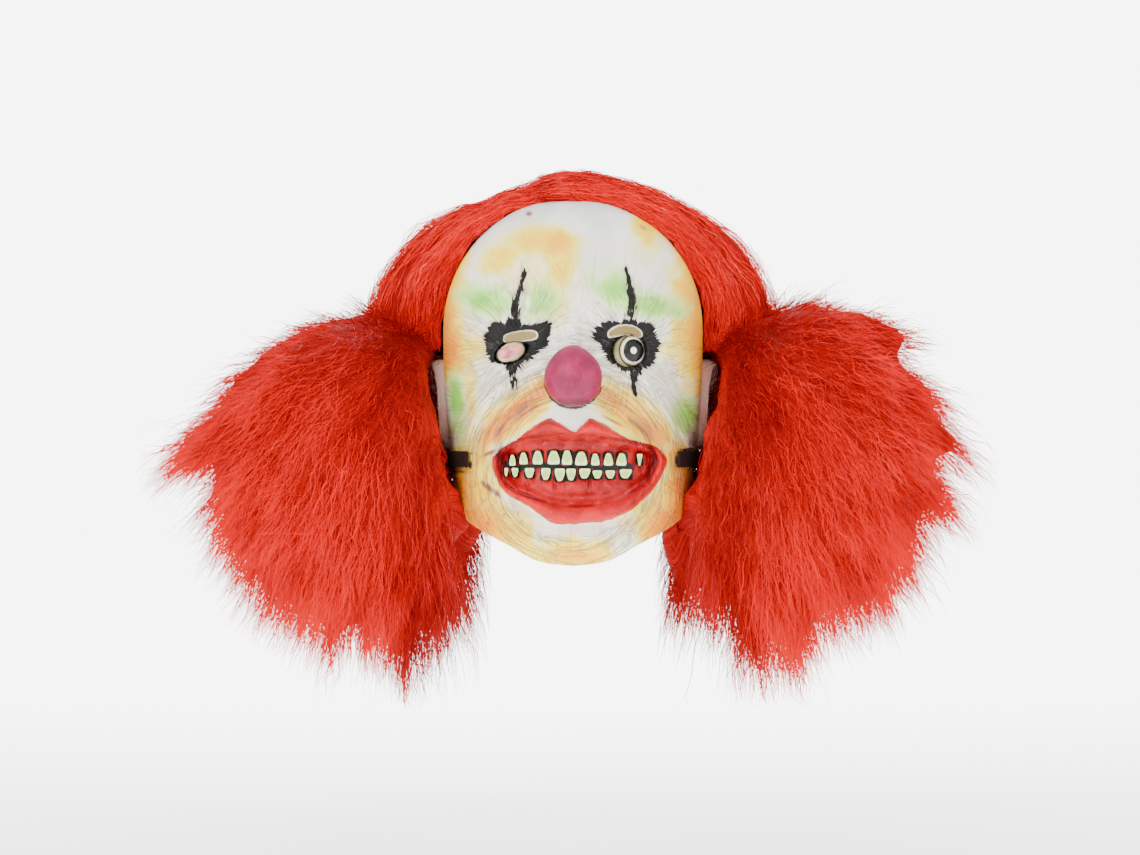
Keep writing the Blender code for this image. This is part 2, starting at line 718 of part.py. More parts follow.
def side_clearance():
    """Filled form of the hood's sides below the gathers, with room for the ears."""
    bm = bmesh.new()
    power = 2.0 / SECTION_POWER
    top = TEMPLE_Z - EAR_DROP + EAR_HEIGHT / 2 + SIDE_CLEARANCE / 3
    bottom = TEMPLE_Z - EAR_DROP - EAR_HEIGHT / 2 - 2 * SIDE_CLEARANCE
    rings = []
    for i in range(SIDE_ROWS + 1):
        z = top + (bottom - top) * i / SIDE_ROWS
        width, front, back = section(z)
        ring = []
        for k in range(SIDE_COLUMNS):
            angle = 2 * math.pi * k / SIDE_COLUMNS
            x = (width + SIDE_CLEARANCE) * signed_power(math.sin(angle), power)
            depth = (front if math.cos(angle) > 0 else back) + SIDE_CLEARANCE
            ring.append(bm.verts.new((x, -depth * signed_power(math.cos(angle), power), z)))
        rings.append(ring)
    for low, high in zip(rings, rings[1:]):
        for k in range(SIDE_COLUMNS):
            n = (k + 1) % SIDE_COLUMNS
            bm.faces.new((low[k], high[k], high[n], low[n]))
    bm.faces.new(rings[0])
    bm.faces.new(rings[-1][::-1])
    bmesh.ops.recalc_face_normals(bm, faces=bm.faces)
    return bm


def add_lock(bm, root, bend, tip, girth):
    """Tapered six-sided lock on an arc from the root to its pointed tip."""
    rings = []
    for share, size in LOCK_STATIONS:
        at = root * (1 - share) ** 2 + bend * 2 * share * (1 - share) + tip * share ** 2
        heading = (bend - root) * (1 - share) + (tip - bend) * share
        turn = heading.to_track_quat("Z", "Y")
        ring = []
        for k in range(LOCK_SIDES):
            around = 2 * math.pi * k / LOCK_SIDES
            offset = Vector((math.cos(around), math.sin(around), 0)) * girth * size
            ring.append(bm.verts.new(at + turn @ offset))
        rings.append(ring)
    point = bm.verts.new(tip)
    for low, high in zip(rings, rings[1:]):
        for k in range(LOCK_SIDES):
            n = (k + 1) % LOCK_SIDES
            bm.faces.new((low[k], low[n], high[n], high[k]))
    for k in range(LOCK_SIDES):
        bm.faces.new((rings[-1][k], rings[-1][(k + 1) % LOCK_SIDES], point))
    bm.faces.new(rings[0][::-1])


def bunch_surface(side, tips):
    """Core and locks of one bunch, all starting at the root on the hood's side."""
    root = Vector((side * (HALF_WIDTH + ROOT_OUT), ROOT_BACK, TEMPLE_Z - ROOT_DROP))

    def place(out, down, forward):
        return Vector((side * (HALF_WIDTH + out * BUNCH_REACH), ROOT_BACK - forward * BUNCH_DEPTH,
                       TEMPLE_Z - ROOT_DROP - down * BUNCH_DROP))

    bm = bmesh.new()
    core = bmesh.ops.create_icosphere(bm, subdivisions=2, radius=1)["verts"]
    bmesh.ops.scale(bm, verts=core, vec=(BUNCH_CORE[0] * BUNCH_REACH, BUNCH_CORE[1] * BUNCH_DEPTH,
                                         BUNCH_CORE[2] * BUNCH_DROP))
    bmesh.ops.translate(bm, verts=core, vec=place(BUNCH_MIDDLE.out, BUNCH_MIDDLE.down, 0))
    for layer in LAYERS:
        for tip in tips[layer.start::layer.every]:
            out = BUNCH_MIDDLE.out + (tip.out - BUNCH_MIDDLE.out) * layer.spread
            down = BUNCH_MIDDLE.down + (tip.down - BUNCH_MIDDLE.down) * layer.spread
            end = place(out, down, layer.forward)
            swell = place(out * LOCK_SWELL.out, down * LOCK_SWELL.down,
                          layer.forward * LOCK_SWELL.forward)
            add_lock(bm, root, swell, end, tip.girth * LOCK_GIRTH)
    bmesh.ops.recalc_face_normals(bm, faces=bm.faces)
    return bm


def build_bunch(name, side, tips, parts, material, cutters):
    bunch = make_object("bunch_" + name, bunch_surface(side, tips), parts, material)
    fuse = bunch.modifiers.new("fuse", "REMESH")
    fuse.mode = "VOXEL"
    fuse.voxel_size = BUNCH_GRAIN
    thin = bunch.modifiers.new("thin", "DECIMATE")
    thin.ratio = BUNCH_SHARE
    for cutter in cutters:
        cut(bunch, cutter, "MANIFOLD")


def build():
    clear_scene()
    parts = new_collection("clown_mask")
    cutters = new_collection("cutters")
    finish = {name: make_material(name) for name in FINISHES}
    clearance = make_cutter("hood_clearance", hood_clearance(), cutters)
    cap_room = make_cutter("cap_clearance", cap_surface(HAIR_GAP), cutters)
    side_room = make_cutter("side_clearance", side_clearance(), cutters)

    build_shell(parts, cutters, finish["face_latex"])
    build_nose(parts, finish["nose_latex"], clearance)
    for name, eye in EYES.items():
        build_eye(name, eye, parts, finish["eye_enamel"], clearance)
    for row, teeth, up in (("upper", UPPER_TEETH, 1), ("lower", LOWER_TEETH, -1)):
        for number, tooth in enumerate(teeth, 1):
            title = "tooth_%s_%02d" % (row, number)
            build_tooth(title, tooth, up, parts, finish["tooth_enamel"], clearance)
    for name, side in (("left", -1), ("right", 1)):
        build_ear(name, side, parts, finish["face_latex"], clearance)
    build_strap(parts, finish["strap_webbing"], clearance)
    make_object("crown_hair", cap_surface(), parts, finish["red_fibre"])
    for name, side, tips in (("left", -1, LEFT_TIPS), ("right", 1, RIGHT_TIPS)):
        build_bunch(name, side, tips, parts, finish["red_fibre"], (cap_room, side_room, clearance))


build()
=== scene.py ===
"""Looks of a latex clown mask: painted hood, nose, eyes, teeth, ears, strap and red fibre hair.

Metres, +Z up. The face looks along -Y, and +X is the viewer's right, as in the frame.
"""
import math
from collections import namedtuple
from itertools import product

import bmesh
import bpy
import numpy as np
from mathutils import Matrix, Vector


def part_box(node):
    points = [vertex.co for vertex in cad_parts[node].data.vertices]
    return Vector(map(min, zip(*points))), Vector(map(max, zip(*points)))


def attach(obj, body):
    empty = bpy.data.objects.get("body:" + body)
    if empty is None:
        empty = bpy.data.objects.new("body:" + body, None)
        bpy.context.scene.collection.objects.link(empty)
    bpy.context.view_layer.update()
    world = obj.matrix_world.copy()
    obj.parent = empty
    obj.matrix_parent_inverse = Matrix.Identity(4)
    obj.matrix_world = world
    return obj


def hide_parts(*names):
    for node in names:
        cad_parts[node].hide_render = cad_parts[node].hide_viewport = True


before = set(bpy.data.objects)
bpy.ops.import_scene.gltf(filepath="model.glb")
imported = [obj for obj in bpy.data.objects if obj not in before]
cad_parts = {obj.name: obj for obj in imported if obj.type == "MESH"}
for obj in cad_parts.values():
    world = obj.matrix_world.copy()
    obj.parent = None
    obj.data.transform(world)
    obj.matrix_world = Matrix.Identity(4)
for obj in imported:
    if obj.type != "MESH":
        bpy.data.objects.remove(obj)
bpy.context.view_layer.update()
bpy.ops.object.select_all(action="DESELECT")

# The hood's form, as the solids have it
WALL = 0.0025
HALF_WIDTH = 0.094
CROWN_RISE = 0.0975
CHIN_DROP = 0.169
FRONT_DEPTH = 0.104
BACK_DEPTH = 0.118
SECTION_POWER = 2.2
TEMPLE_Z = WALL - CROWN_RISE
Section = namedtuple("Section", "drop width front back")
SECTIONS = (
    Section(0.00, 1.000, 1.00, 1.00),
    Section(0.15, 0.998, 0.99, 0.98),
    Section(0.35, 0.979, 0.96, 0.94),
    Section(0.52, 0.950, 0.94, 0.88),
    Section(0.70, 0.915, 0.92, 0.82),
    Section(0.86, 0.885, 0.89, 0.78),
    Section(1.00, 0.860, 0.80, 0.76),
)
RimPoint = namedtuple("RimPoint", "angle drop")
RIM = (
    RimPoint(0, 1.000),
    RimPoint(16, 0.980),
    RimPoint(33, 0.911),
    RimPoint(52, 0.850),
    RimPoint(69, 0.795),
    RimPoint(85, 0.700),
    RimPoint(105, 0.670),
    RimPoint(180, 0.680),
)
RELIEF = 0.010
Bump = namedtuple("Bump", "across drop half_width half_height turn rise")
BUMPS = (
    Bump(-0.44, -0.120, 0.26, 0.055, 0, 0.80),
    Bump(0.44, -0.115, 0.26, 0.055, 0, 0.80),
    Bump(0.00, -0.080, 0.14, 0.110, 0, 0.50),
    Bump(-0.41, 0.045, 0.23, 0.080, 14, -1.20),
    Bump(0.42, 0.090, 0.23, 0.085, 0, -1.20),
    Bump(-0.70, 0.290, 0.22, 0.120, 0, 0.90),
    Bump(0.70, 0.290, 0.22, 0.120, 0, 0.90),
    Bump(0.00, 0.070, 0.11, 0.110, 0, 0.90),
    Bump(0.00, 0.260, 0.24, 0.080, 0, 0.80),
    Bump(0.00, 0.420, 0.42, 0.090, 0, 0.60),
    Bump(-0.48, 0.385, 0.34, 0.034, 43, -0.65),
    Bump(0.40, 0.380, 0.34, 0.034, -34, -0.65),
    Bump(0.02, 0.830, 0.45, 0.030, 0, -0.45),
    Bump(0.03, 0.915, 0.32, 0.055, 0, 0.80),
    Bump(-0.76, 0.700, 0.16, 0.110, 0, 0.45),
    Bump(0.76, 0.700, 0.16, 0.110, 0, 0.45),
)
MOUTH_DEPTH = 0.0085
MOUTH_SLOPE = 0.007
LIP_RISE = 0.0075

# Places on the face are read from the front, in columns and rows of the photograph
PIXEL = 0.00072
MIDDLE_COLUMN = 573
CROWN_ROW = 193
VIEW_COLUMNS = 1140
VIEW_MIDDLE = (570, 427.5)

# Outlines on the face, as column and row
LIP_EDGE = (
    (493, 458), (505, 448), (520, 437), (534, 426), (548, 419), (560, 423), (574, 431), (584, 423),
    (592, 419), (606, 427), (627, 438), (645, 443), (657, 447), (666, 458), (663, 472), (654, 487),
    (642, 500), (628, 511), (606, 520), (586, 522), (557, 523.6), (543, 516), (528, 505.5),
    (508, 494), (497, 479))
MOUTH_EDGE = (
    (498, 453), (508, 444), (520, 439), (536, 436), (552, 434), (579, 434), (603, 437), (627, 441),
    (644, 445), (654, 452), (656, 463), (650, 477), (639, 487), (623, 498), (608, 503), (594, 505),
    (575, 506), (557, 504.5), (532, 497), (508, 486), (500, 470))
EYE_PAINT = {
    "left": ((486, 352), (485, 341), (490, 331), (494, 323), (504, 321), (512, 319), (519, 321),
             (528, 325), (538, 325), (548, 323), (552, 328), (551, 338), (545, 346), (538, 352),
             (535, 358), (526, 363), (516, 366), (507, 366), (499, 364), (491, 361)),
    "right": ((589, 331), (595, 334), (599, 328), (608, 323), (620, 321), (635, 321), (648, 323),
              (654, 328), (657, 341), (657, 353), (654, 363), (645, 369), (638, 373), (628, 374),
              (618, 369), (611, 363), (603, 353), (596, 343)),
}
SPIKES = {
    "brow_left": ((525, 268), (526.5, 271), (526, 281), (524.3, 291), (521.5, 301), (520, 311),
                  (518.5, 319), (515, 321), (511.6, 318), (511.1, 308), (513.6, 301), (516.6, 293.5),
                  (519.8, 283.5), (522.3, 275)),
    "brow_right": ((623, 268), (625.5, 269.8), (630, 278.6), (633.5, 288.5), (636.2, 298.5),
                   (635.5, 306), (633.5, 312), (630, 319), (626.8, 318.4), (626, 314.6), (628, 306),
                   (627.5, 296), (627.3, 288.5), (625.5, 278.6), (623.3, 272)),
    "tear_left": ((506.6, 364), (519, 363), (517.6, 372), (514.8, 375.6), (517.6, 379.3),
                  (516.1, 385.5), (514.3, 397), (512.3, 388), (509.1, 382), (511.1, 379.3),
                  (508.1, 374.3)),
    "tear_right": ((629.2, 371), (639.2, 371), (637.5, 379.3), (635, 384.3), (637, 388),
                   (636.5, 396), (633.5, 391.7), (630, 386.8), (631.7, 384.3), (630, 379.3)),
}
Peep = namedtuple("Peep", "across drop slant bend")
PEEPS = {"left": Peep(-0.400, 0.0390, 7, 0.0006), "right": Peep(0.395, 0.021, 1, 0.0034)}
PEEP_LENGTH = 0.023
PEEP_HEIGHT = 0.0062

# Folds of the latex round a middle, in columns and rows: rings lie round it and rays run out of
# it, between two radii and two angles, with their spacing in pixels or degrees, depth in metres
Fold = namedtuple("Fold", "kind column row near far start end spacing depth")
FOLDS = (
    Fold("ring", 519, 350, 26, 66, 195, 345, 6.5, 0.00080),
    Fold("ring", 630, 352, 26, 66, 195, 345, 6.5, 0.00080),
    Fold("ring", 575, 468, 68, 132, 100, 178, 8.0, 0.00130),
    Fold("ring", 575, 468, 68, 132, 2, 80, 8.0, 0.00130),
    Fold("ring", 575, 430, 92, 138, 228, 312, 7.5, 0.00170),
    Fold("ring", 575, 470, 64, 112, 190, 250, 8.0, 0.00080),
    Fold("ring", 575, 470, 64, 112, 290, 350, 8.0, 0.00080),
    Fold("ray", 574, 430, 70, 130, 62, 118, 7.0, 0.00060),
)
FOLD_EDGE = 9.0
FOLD_RUN = 6.5

# Soft paint on the latex: a place, half sizes and slant, in columns, rows and degrees
Blot = namedtuple("Blot", "paint column row half_width half_height slant strength")
BLOTS = (
    Blot("ochre", 503, 257, 24, 14, 32, 0.75),
    Blot("ochre", 530, 242, 30, 13, 5, 0.85),
    Blot("ochre", 556, 247, 18, 18, -30, 0.95),
    Blot("ochre", 562, 270, 14, 26, 0, 0.75),
    Blot("ochre", 552, 294, 16, 26, 10, 0.55),
    Blot("ochre", 534, 276, 34, 30, 0, 0.35),
    Blot("ochre", 448, 296, 17, 72, -6, 0.95),
    Blot("ochre", 452, 346, 17, 32, 0, 1.00),
    Blot("ochre", 466, 350, 26, 14, 0, 0.60),
    Blot("ochre", 646, 226, 13, 17, 0, 0.85),
    Blot("ochre", 652, 240, 20, 22, 30, 0.40),
    Blot("ochre", 691, 322, 18, 74, 4, 0.95),
    Blot("ochre", 680, 350, 20, 14, 0, 0.50),
    Blot("ochre", 515, 414, 42, 17, 38, 1.00),
    Blot("ochre", 470, 396, 8, 44, 0, 0.55),
    Blot("ochre", 470, 436, 16, 30, 0, 0.45),
    Blot("ochre", 464, 498, 30, 48, -22, 1.00),
    Blot("ochre", 490, 522, 38, 24, -32, 1.00),
    Blot("ochre", 682, 496, 20, 44, 14, 1.00),
    Blot("ochre", 662, 518, 32, 26, 36, 1.00),
    Blot("ochre", 570, 552, 42, 14, 0, 1.00),
    Blot("ochre", 630, 414, 42, 17, -36, 1.00),
    Blot("orange", 556, 245, 12, 11, -30, 0.45),
    Blot("orange", 446, 322, 8, 46, -4, 0.65),
    Blot("orange", 450, 350, 10, 18, 0, 0.80),
    Blot("orange", 697, 322, 8, 60, 4, 0.60),
    Blot("orange", 521, 408, 34, 8, 40, 1.00),
    Blot("orange", 496, 430, 19, 10, 46, 0.95),
    Blot("orange", 536, 397, 16, 7, 40, 0.80),
    Blot("orange", 614, 401, 22, 7, -32, 0.70),
    Blot("orange", 650, 430, 22, 9, -40, 0.80),
    Blot("orange", 459, 488, 12, 36, 0, 0.75),
    Blot("orange", 480, 521, 28, 11, -36, 0.80),
    Blot("orange", 685, 492, 13, 34, 10, 1.00),
    Blot("orange", 668, 521, 24, 12, 38, 0.90),
    Blot("orange", 574, 556, 22, 6, 0, 0.50),
    Blot("green", 485, 300, 24, 15, -12, 0.90),
    Blot("green", 543, 302, 17, 16, 20, 0.75),
    Blot("green", 613, 291, 22, 16, -38, 0.85),
    Blot("green", 655, 308, 30, 12, -2, 0.80),
    Blot("green", 457, 399, 8, 20, 4, 1.00),
    Blot("green", 460, 424, 9, 18, 0, 0.55),
    Blot("green", 686, 413, 13, 18, 0, 0.90),
    Blot("brown", 529, 214, 3, 2.5, 0, 0.60),
    Blot("brown", 643, 228, 4, 2.0, -30, 0.40),
    Blot("brown", 640, 428, 16, 3, -40, 0.50),
    Blot("brown", 492, 452, 9, 1.8, 25, 0.60),
    Blot("brown", 500, 430, 13, 2.0, 52, 0.55),
    Blot("brown", 520, 410, 15, 1.8, 42, 0.50),
    Blot("brown", 489, 487, 9, 2.2, -42, 0.75),
    Blot("brown", 497, 493, 6, 2.0, -42, 0.65),
    Blot("brown", 600, 424, 12, 1.6, -20, 0.55),
    Blot("brown", 612, 421, 12, 1.4, -28, 0.50),
    Blot("ink", 458, 453.4, 11, 1.3, 0, 1.00),
    Blot("ink", 459, 471.6, 9, 1.1, -3, 0.80),
    Blot("ink", 470.5, 464.5, 1.4, 3.4, 0, 1.00),
    Blot("ink", 690, 449.6, 7, 1.3, 4, 1.00),
    Blot("ink", 677.5, 460.5, 1.4, 3.4, 0, 1.00),
)

# Each soft paint where it is thin and where it is thick, in the order in which they go on
PAINTS = {
    "ochre": ("FFE650", "FFC200"),
    "orange": ("FFB414", "F47E00"),
    "green": ("C4F288", "7CD040"),
    "brown": ("8C4A3A", "54241E"),
    "ink": ("2A1614", "0C0606"),
}

# The eyes in their hollows: middle, half sizes and slant, in columns, rows and degrees
Hollow = namedtuple("Hollow", "column row half_width half_height slant")
EYE_HOLLOWS = {"left": Hollow(512, 353, 16, 10, 22), "right": Hollow(627, 351, 17, 17, 0)}
HOLLOW_DEPTH = 0.0060
EYE_RADIUS = 0.0122
NOSE_MIDDLE = (573, 379)
MOUTH_SPAN = (497, 657)
NOSE_SHADOW_RADIUS = 0.0209
BLOT_SPREAD = 1.28
TOOTH_SHARE = 0.92


# Shader nodes written as expressions

class Value:
    """A socket of a node tree, with arithmetic that adds Math nodes."""

    def __init__(self, finish, socket):
        self.finish = finish
        self.socket = socket

    def math(self, operation, *values):
        return self.finish.node("ShaderNodeMath", {"operation": operation}, dict(enumerate(values)))

    def __add__(self, other):
        return self.math("ADD", self, other)

    def __sub__(self, other):
        return self.math("SUBTRACT", self, other)

    def __mul__(self, other):
        return self.math("MULTIPLY", self, other)

    def __truediv__(self, other):
        return self.math("DIVIDE", self, other)

    def __pow__(self, other):
        return self.math("POWER", self, other)

    __radd__ = __add__
    __rmul__ = __mul__


class Finish:
    """One material: a Principled BSDF and the nodes that feed it."""

    def __init__(self, name, **sockets):
        self.material = bpy.data.materials.new(name)
        self.material.use_nodes = True
        self.tree = self.material.node_tree
        self.shader = self.tree.nodes["Principled BSDF"]
        for socket, value in sockets.items():
            self.shader.inputs[socket.replace("_", " ")].default_value = value
        self.places = self.node("ShaderNodeTexCoord", output="Object")

    def node(self, kind, settings=None, inputs=None, output=0):
        """A new node with its settings, then the values or links of its sockets."""
        new = self.tree.nodes.new(kind)
        for name, setting in (settings or {}).items():
            setattr(new, name, setting)
        for socket, value in (inputs or {}).items():
            if isinstance(value, Value):
                self.tree.links.new(value.socket, new.inputs[socket])
            else:
                new.inputs[socket].default_value = value
        return Value(self, new.outputs[output])

    def feed(self, socket, value):
        self.tree.links.new(value.socket, self.shader.inputs[socket])

    def noise(self, scale, detail=3.0, distortion=0.0, vector=None, roughness=0.55):
        """Noise from 0 to 1, over the piece's own places unless others are given."""
        return self.node("ShaderNodeTexNoise", inputs={
            "Vector": vector or self.places, "Scale": scale, "Detail": detail,
            "Distortion": distortion, "Roughness": roughness})

    def smooth(self, value, low, high):
        """Soft step from 0 at low to 1 at high; low may be the greater of the two."""
        return self.node("ShaderNodeMapRange", {"interpolation_type": "SMOOTHSTEP"}, {
            "Value": value, "From Min": low, "From Max": high})

    def attribute(self, name):
        return self.node("ShaderNodeAttribute", {"attribute_name": name}, output="Fac")

    def attribute_vector(self, name):
        return self.node("ShaderNodeAttribute", {"attribute_name": name}, output="Vector")

    def mix(self, mask, under, over):
        """One colour laid over another where the mask is 1."""
        return self.node("ShaderNodeMix", {"data_type": "RGBA"}, {0: mask, 6: under, 7: over}, output=2)

    def bump(self, height, distance):
        return self.node("ShaderNodeBump", inputs={
            "Height": height, "Distance": distance, "Strength": 1.0})


def tint(code):
    """A colour as seen on a screen, as the linear colour that a shader takes."""
    shades = []
    for k in (0, 2, 4):
        level = int(code[k:k + 2], 16) / 255.0
        shades.append(level / 12.92 if level < 0.04045 else ((level + 0.055) / 1.055) ** 2.4)
    return (*shades, 1.0)


# Numbers over many points at once

def smoothstep(low, high, value):
    t = np.clip((value - low) / (high - low), 0.0, 1.0)
    return t * t * (3.0 - 2.0 * t)


def signed_power(value, power):
    return np.copysign(np.abs(value) ** power, value)


LATTICE_SIZE = 32
LATTICE = np.random.default_rng(11).uniform(-1.0, 1.0, (LATTICE_SIZE,) * 3)


def noise(points):
    """Smooth noise from -1 to 1 at places given in its own cells."""
    cell = np.floor(points).astype(int)
    t = points - cell
    t = t * t * t * (t * (t * 6 - 15) + 10)
    total = np.zeros(points.shape[:-1])
    for corner in product((0, 1), repeat=3):
        weight = np.ones(points.shape[:-1])
        for axis, far in enumerate(corner):
            weight = weight * (t[..., axis] if far else 1 - t[..., axis])
        at = (cell + corner) % LATTICE_SIZE
        total += weight * LATTICE[at[..., 0], at[..., 1], at[..., 2]]
    return total


def noise_at(x, z, size, layer=0.0):
    return noise(np.stack((x / size, z / size, np.full_like(x, layer + 0.37)), axis=-1))


def across(column):
    return (column - MIDDLE_COLUMN) * PIXEL


def height(row):
    return (CROWN_ROW - row) * PIXEL + WALL


def closed_line(points, steps=5):
    """Smooth closed line through places given by column and row, in metres."""
    spots = np.array([(across(column), height(row)) for column, row in points])
    before, after = np.roll(spots, 1, axis=0), np.roll(spots, -1, axis=0)
    beyond = np.roll(spots, -2, axis=0)
    line = []
    for k in range(steps):
        t = k / steps
        line.append(0.5 * (2 * spots + (after - before) * t
                           + (2 * before - 5 * spots + 4 * after - beyond) * t * t
                           + (3 * spots - before - 3 * after + beyond) * t ** 3))
    return np.stack(line, axis=1).reshape(-1, 2)


def distance_inside(line, x, z):
    """Distance to a closed line in the face's front view, below zero inside it."""
    best = np.full(x.shape, np.inf)
    inside = np.zeros(x.shape, bool)
    for (ax, az), (bx, bz) in zip(line, np.roll(line, -1, axis=0)):
        vx, vz = bx - ax, bz - az
        t = np.clip(((x - ax) * vx + (z - az) * vz) / (vx * vx + vz * vz + 1e-18), 0, 1)
        best = np.minimum(best, (x - ax - t * vx) ** 2 + (z - az - t * vz) ** 2)
        if az != bz:
            inside ^= ((az > z) != (bz > z)) & (x < vx * (z - az) / vz + ax)
    return np.where(inside, -1.0, 1.0) * np.sqrt(best)


# Meshes

def read_points(piece):
    flat = np.empty(len(piece.data.vertices) * 3)
    piece.data.vertices.foreach_get("co", flat)
    return flat.reshape(-1, 3)


def write_points(piece, points):
    piece.data.vertices.foreach_set("co", np.ascontiguousarray(points, dtype=float).ravel())
    piece.data.update()


def read_normals(piece):
    flat = np.empty(len(piece.data.vertices) * 3)
    piece.data.vertices.foreach_get("normal", flat)
    return flat.reshape(-1, 3)


def keep_number(piece, name, values):
    """Store a number for each point, for a material to read."""
    layer = piece.data.attributes.new(name, "FLOAT", "POINT")
    layer.data.foreach_set("value", np.ascontiguousarray(values, dtype=float))


def keep_vector(piece, name, values):
    layer = piece.data.attributes.new(name, "FLOAT_VECTOR", "POINT")
    layer.data.foreach_set("vector", np.ascontiguousarray(values, dtype=float).ravel())


def new_piece(name):
    """The object that an operator has just added, under a name of its own."""
    piece = bpy.context.object
    piece.name = name
    piece.data.name = name
    return piece


def edit_all(*steps):
    """Run mesh operators, each with its settings, on the whole of the piece in hand."""
    bpy.ops.object.mode_set(mode="EDIT")
    bpy.ops.mesh.select_all(action="SELECT")
    for operator, settings in steps:
        operator(**settings)
    bpy.ops.object.mode_set(mode="OBJECT")


def modify(piece, name, kind, **settings):
    """Add a modifier with its settings and apply it."""
    modifier = piece.modifiers.new(name, kind)
    for setting, value in settings.items():
        setattr(modifier, setting, value)
    bpy.ops.object.modifier_apply(modifier=name)


MERGE = (bpy.ops.mesh.remove_doubles, {"threshold": 0.00001})
FACE_OUTWARDS = (bpy.ops.mesh.normals_make_consistent, {"inside": False})


def finish_piece(piece, finish, slot, *nodes):
    """Give a piece its finish and smooth shading, hang it on the root body and hide the solids it stands
    for. The slot is not used.
    """
    piece.data.materials.clear()
    piece.data.materials.append(finish.material)
    for polygon in piece.data.polygons:
        polygon.use_smooth = True
    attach(piece, "root")
    if nodes:
        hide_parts(*nodes)
    piece.select_set(False)


# The hood's form

def read_table(rows, key, column, at):
    """Values of a column at places between rows, on a smooth curve through them."""
    places = np.array([getattr(row, key) for row in rows], float)
    values = np.array([getattr(row, column) for row in rows], float)
    at = np.clip(at, places[0], places[-1])
    i = np.clip(np.searchsorted(places, at, side="right") - 1, 0, len(rows) - 2)
    before, after = np.maximum(i - 1, 0), np.minimum(i + 2, len(rows) - 1)
    span = places[i + 1] - places[i]
    t = (at - places[i]) / span
    rise = values[i + 1] - values[i]
    bend_in = (values[i + 1] - values[before]) / (places[i + 1] - places[before]) * span
    bend_out = (values[after] - values[i]) / (places[after] - places[i]) * span
    return (values[i] + t * bend_in + t * t * (3 * rise - 2 * bend_in - bend_out)
            + t * t * t * (bend_in + bend_out - 2 * rise))


def section(z):
    """Half width, front depth and back depth of the hood at each height."""
    up = np.clip((z - TEMPLE_Z) / CROWN_RISE, 0.0, 1.0)
    share = np.sqrt(1.0 - up * up)
    drop = (TEMPLE_Z - z) / CHIN_DROP
    return [size * share * read_table(SECTIONS, "drop", column, drop)
            for size, column in ((HALF_WIDTH, "width"), (FRONT_DEPTH, "front"), (BACK_DEPTH, "back"))]


def hood_plan(angle, z):
    """Places on the plain hood, angles in radians round from the front."""
    width, front, back = section(z)
    power = 2.0 / SECTION_POWER
    x = width * signed_power(np.sin(angle), power)
    y = -signed_power(np.cos(angle), power) * np.where(np.cos(angle) > 0, front, back)
    return x, y


def rim_z(angle):
    around = np.abs(np.degrees(np.arctan2(np.sin(angle), np.cos(angle))))
    return TEMPLE_Z - CHIN_DROP * read_table(RIM, "angle", "drop", around)


def front_share(angle):
    """How much of the cast relief shows round the hood: 1 on the face, 0 from the ears back."""
    return smoothstep(0.10, 0.42, np.cos(angle))


def turned(dx, dz, slant):
    """Shifts in the front view, measured along a direction at a slant and beside it."""
    turn = math.radians(slant)
    return dx * math.cos(turn) + dz * math.sin(turn), dz * math.cos(turn) - dx * math.sin(turn)


def cast_bumps(x, z):
    """The broad forms of the face: brows, sockets, cheeks, muzzle and chin."""
    total = np.zeros_like(x)
    for bump in BUMPS:
        dx = x - bump.across * HALF_WIDTH
        dz = z - (TEMPLE_Z - bump.drop * CHIN_DROP)
        along, beside = turned(dx, dz, bump.turn)
        along, beside = along / (bump.half_width * HALF_WIDTH), beside / (bump.half_height * CHIN_DROP)
        total += bump.rise * RELIEF * np.exp(-along * along - beside * beside)
    return total


def from_place(place, x, z):
    """How far points lie from a place on the face, in columns and in rows upwards."""
    return (x - across(place.column)) / PIXEL, (z - height(place.row)) / PIXEL


def oval_radius(oval, x, z):
    """Distance from the middle of a slanted oval on the face, 1 at its edge."""
    along, beside = turned(*from_place(oval, x, z), oval.slant)
    return np.hypot(along / oval.half_width, beside / oval.half_height)


def eye_relief(x, z):
    """Hollows that hold the eyes, each in a rolled lid."""
    total = np.zeros_like(x)
    for hollow in EYE_HOLLOWS.values():
        radius = oval_radius(hollow, x, z)
        total -= HOLLOW_DEPTH * smoothstep(1.08, 0.92, radius)
        total += 2 * LID_RISE * np.exp(-((radius - 1.22) / 0.14) ** 2)
    return total


def mouth_relief(lip, mouth):
    """Rolled lips round the sunken mouth, from the distances to their two edges."""
    roll = np.clip(-lip / (np.maximum(mouth, 0) - np.minimum(lip, 0) + 1e-9), 0.0, 1.0)
    lips = LIP_RISE * np.sin(math.pi * roll) ** 0.7
    hollow = -MOUTH_DEPTH * smoothstep(0.0, MOUTH_SLOPE, -mouth)
    return np.where(mouth < 0, hollow, np.where(lip < 0, lips, 0.0))


# The hood

HOOD_COLUMNS = 330
HOOD_ROWS = 268
RIM_ROWS = 5
INSIDE_COLUMNS = 96
INSIDE_ROWS = 60
FRONT_FAVOUR = 0.58
CROWN_SHARE = 0.47
LID_RISE = 0.0009
PAINT_RAG = 0.0016
DEEPEST_SHIFT = 0.0035
INSIDE_RELIEF = 0.003
PEEP_SNAP = 0.00062
PEEP_ZONE = 0.04
PEEP_STEPS = 48
TEST_STEP = 0.0002
WRINKLE_DEPTH = 0.00010
LIP_WRINKLE_DEPTH = 0.00014
BITE_END = (627, 640)
UPPER_GUM = 0.0140
LOWER_GUM = 0.0155
UPPER_GUM_RISE = 0.0036
LOWER_GUM_RISE = 0.0052
GROOVE_WIDTH = 0.0013
FOLDED_FROM = (-0.15, 0.20)
RIM_FADE = (2, 16)
FULL_FOLD = 0.0008


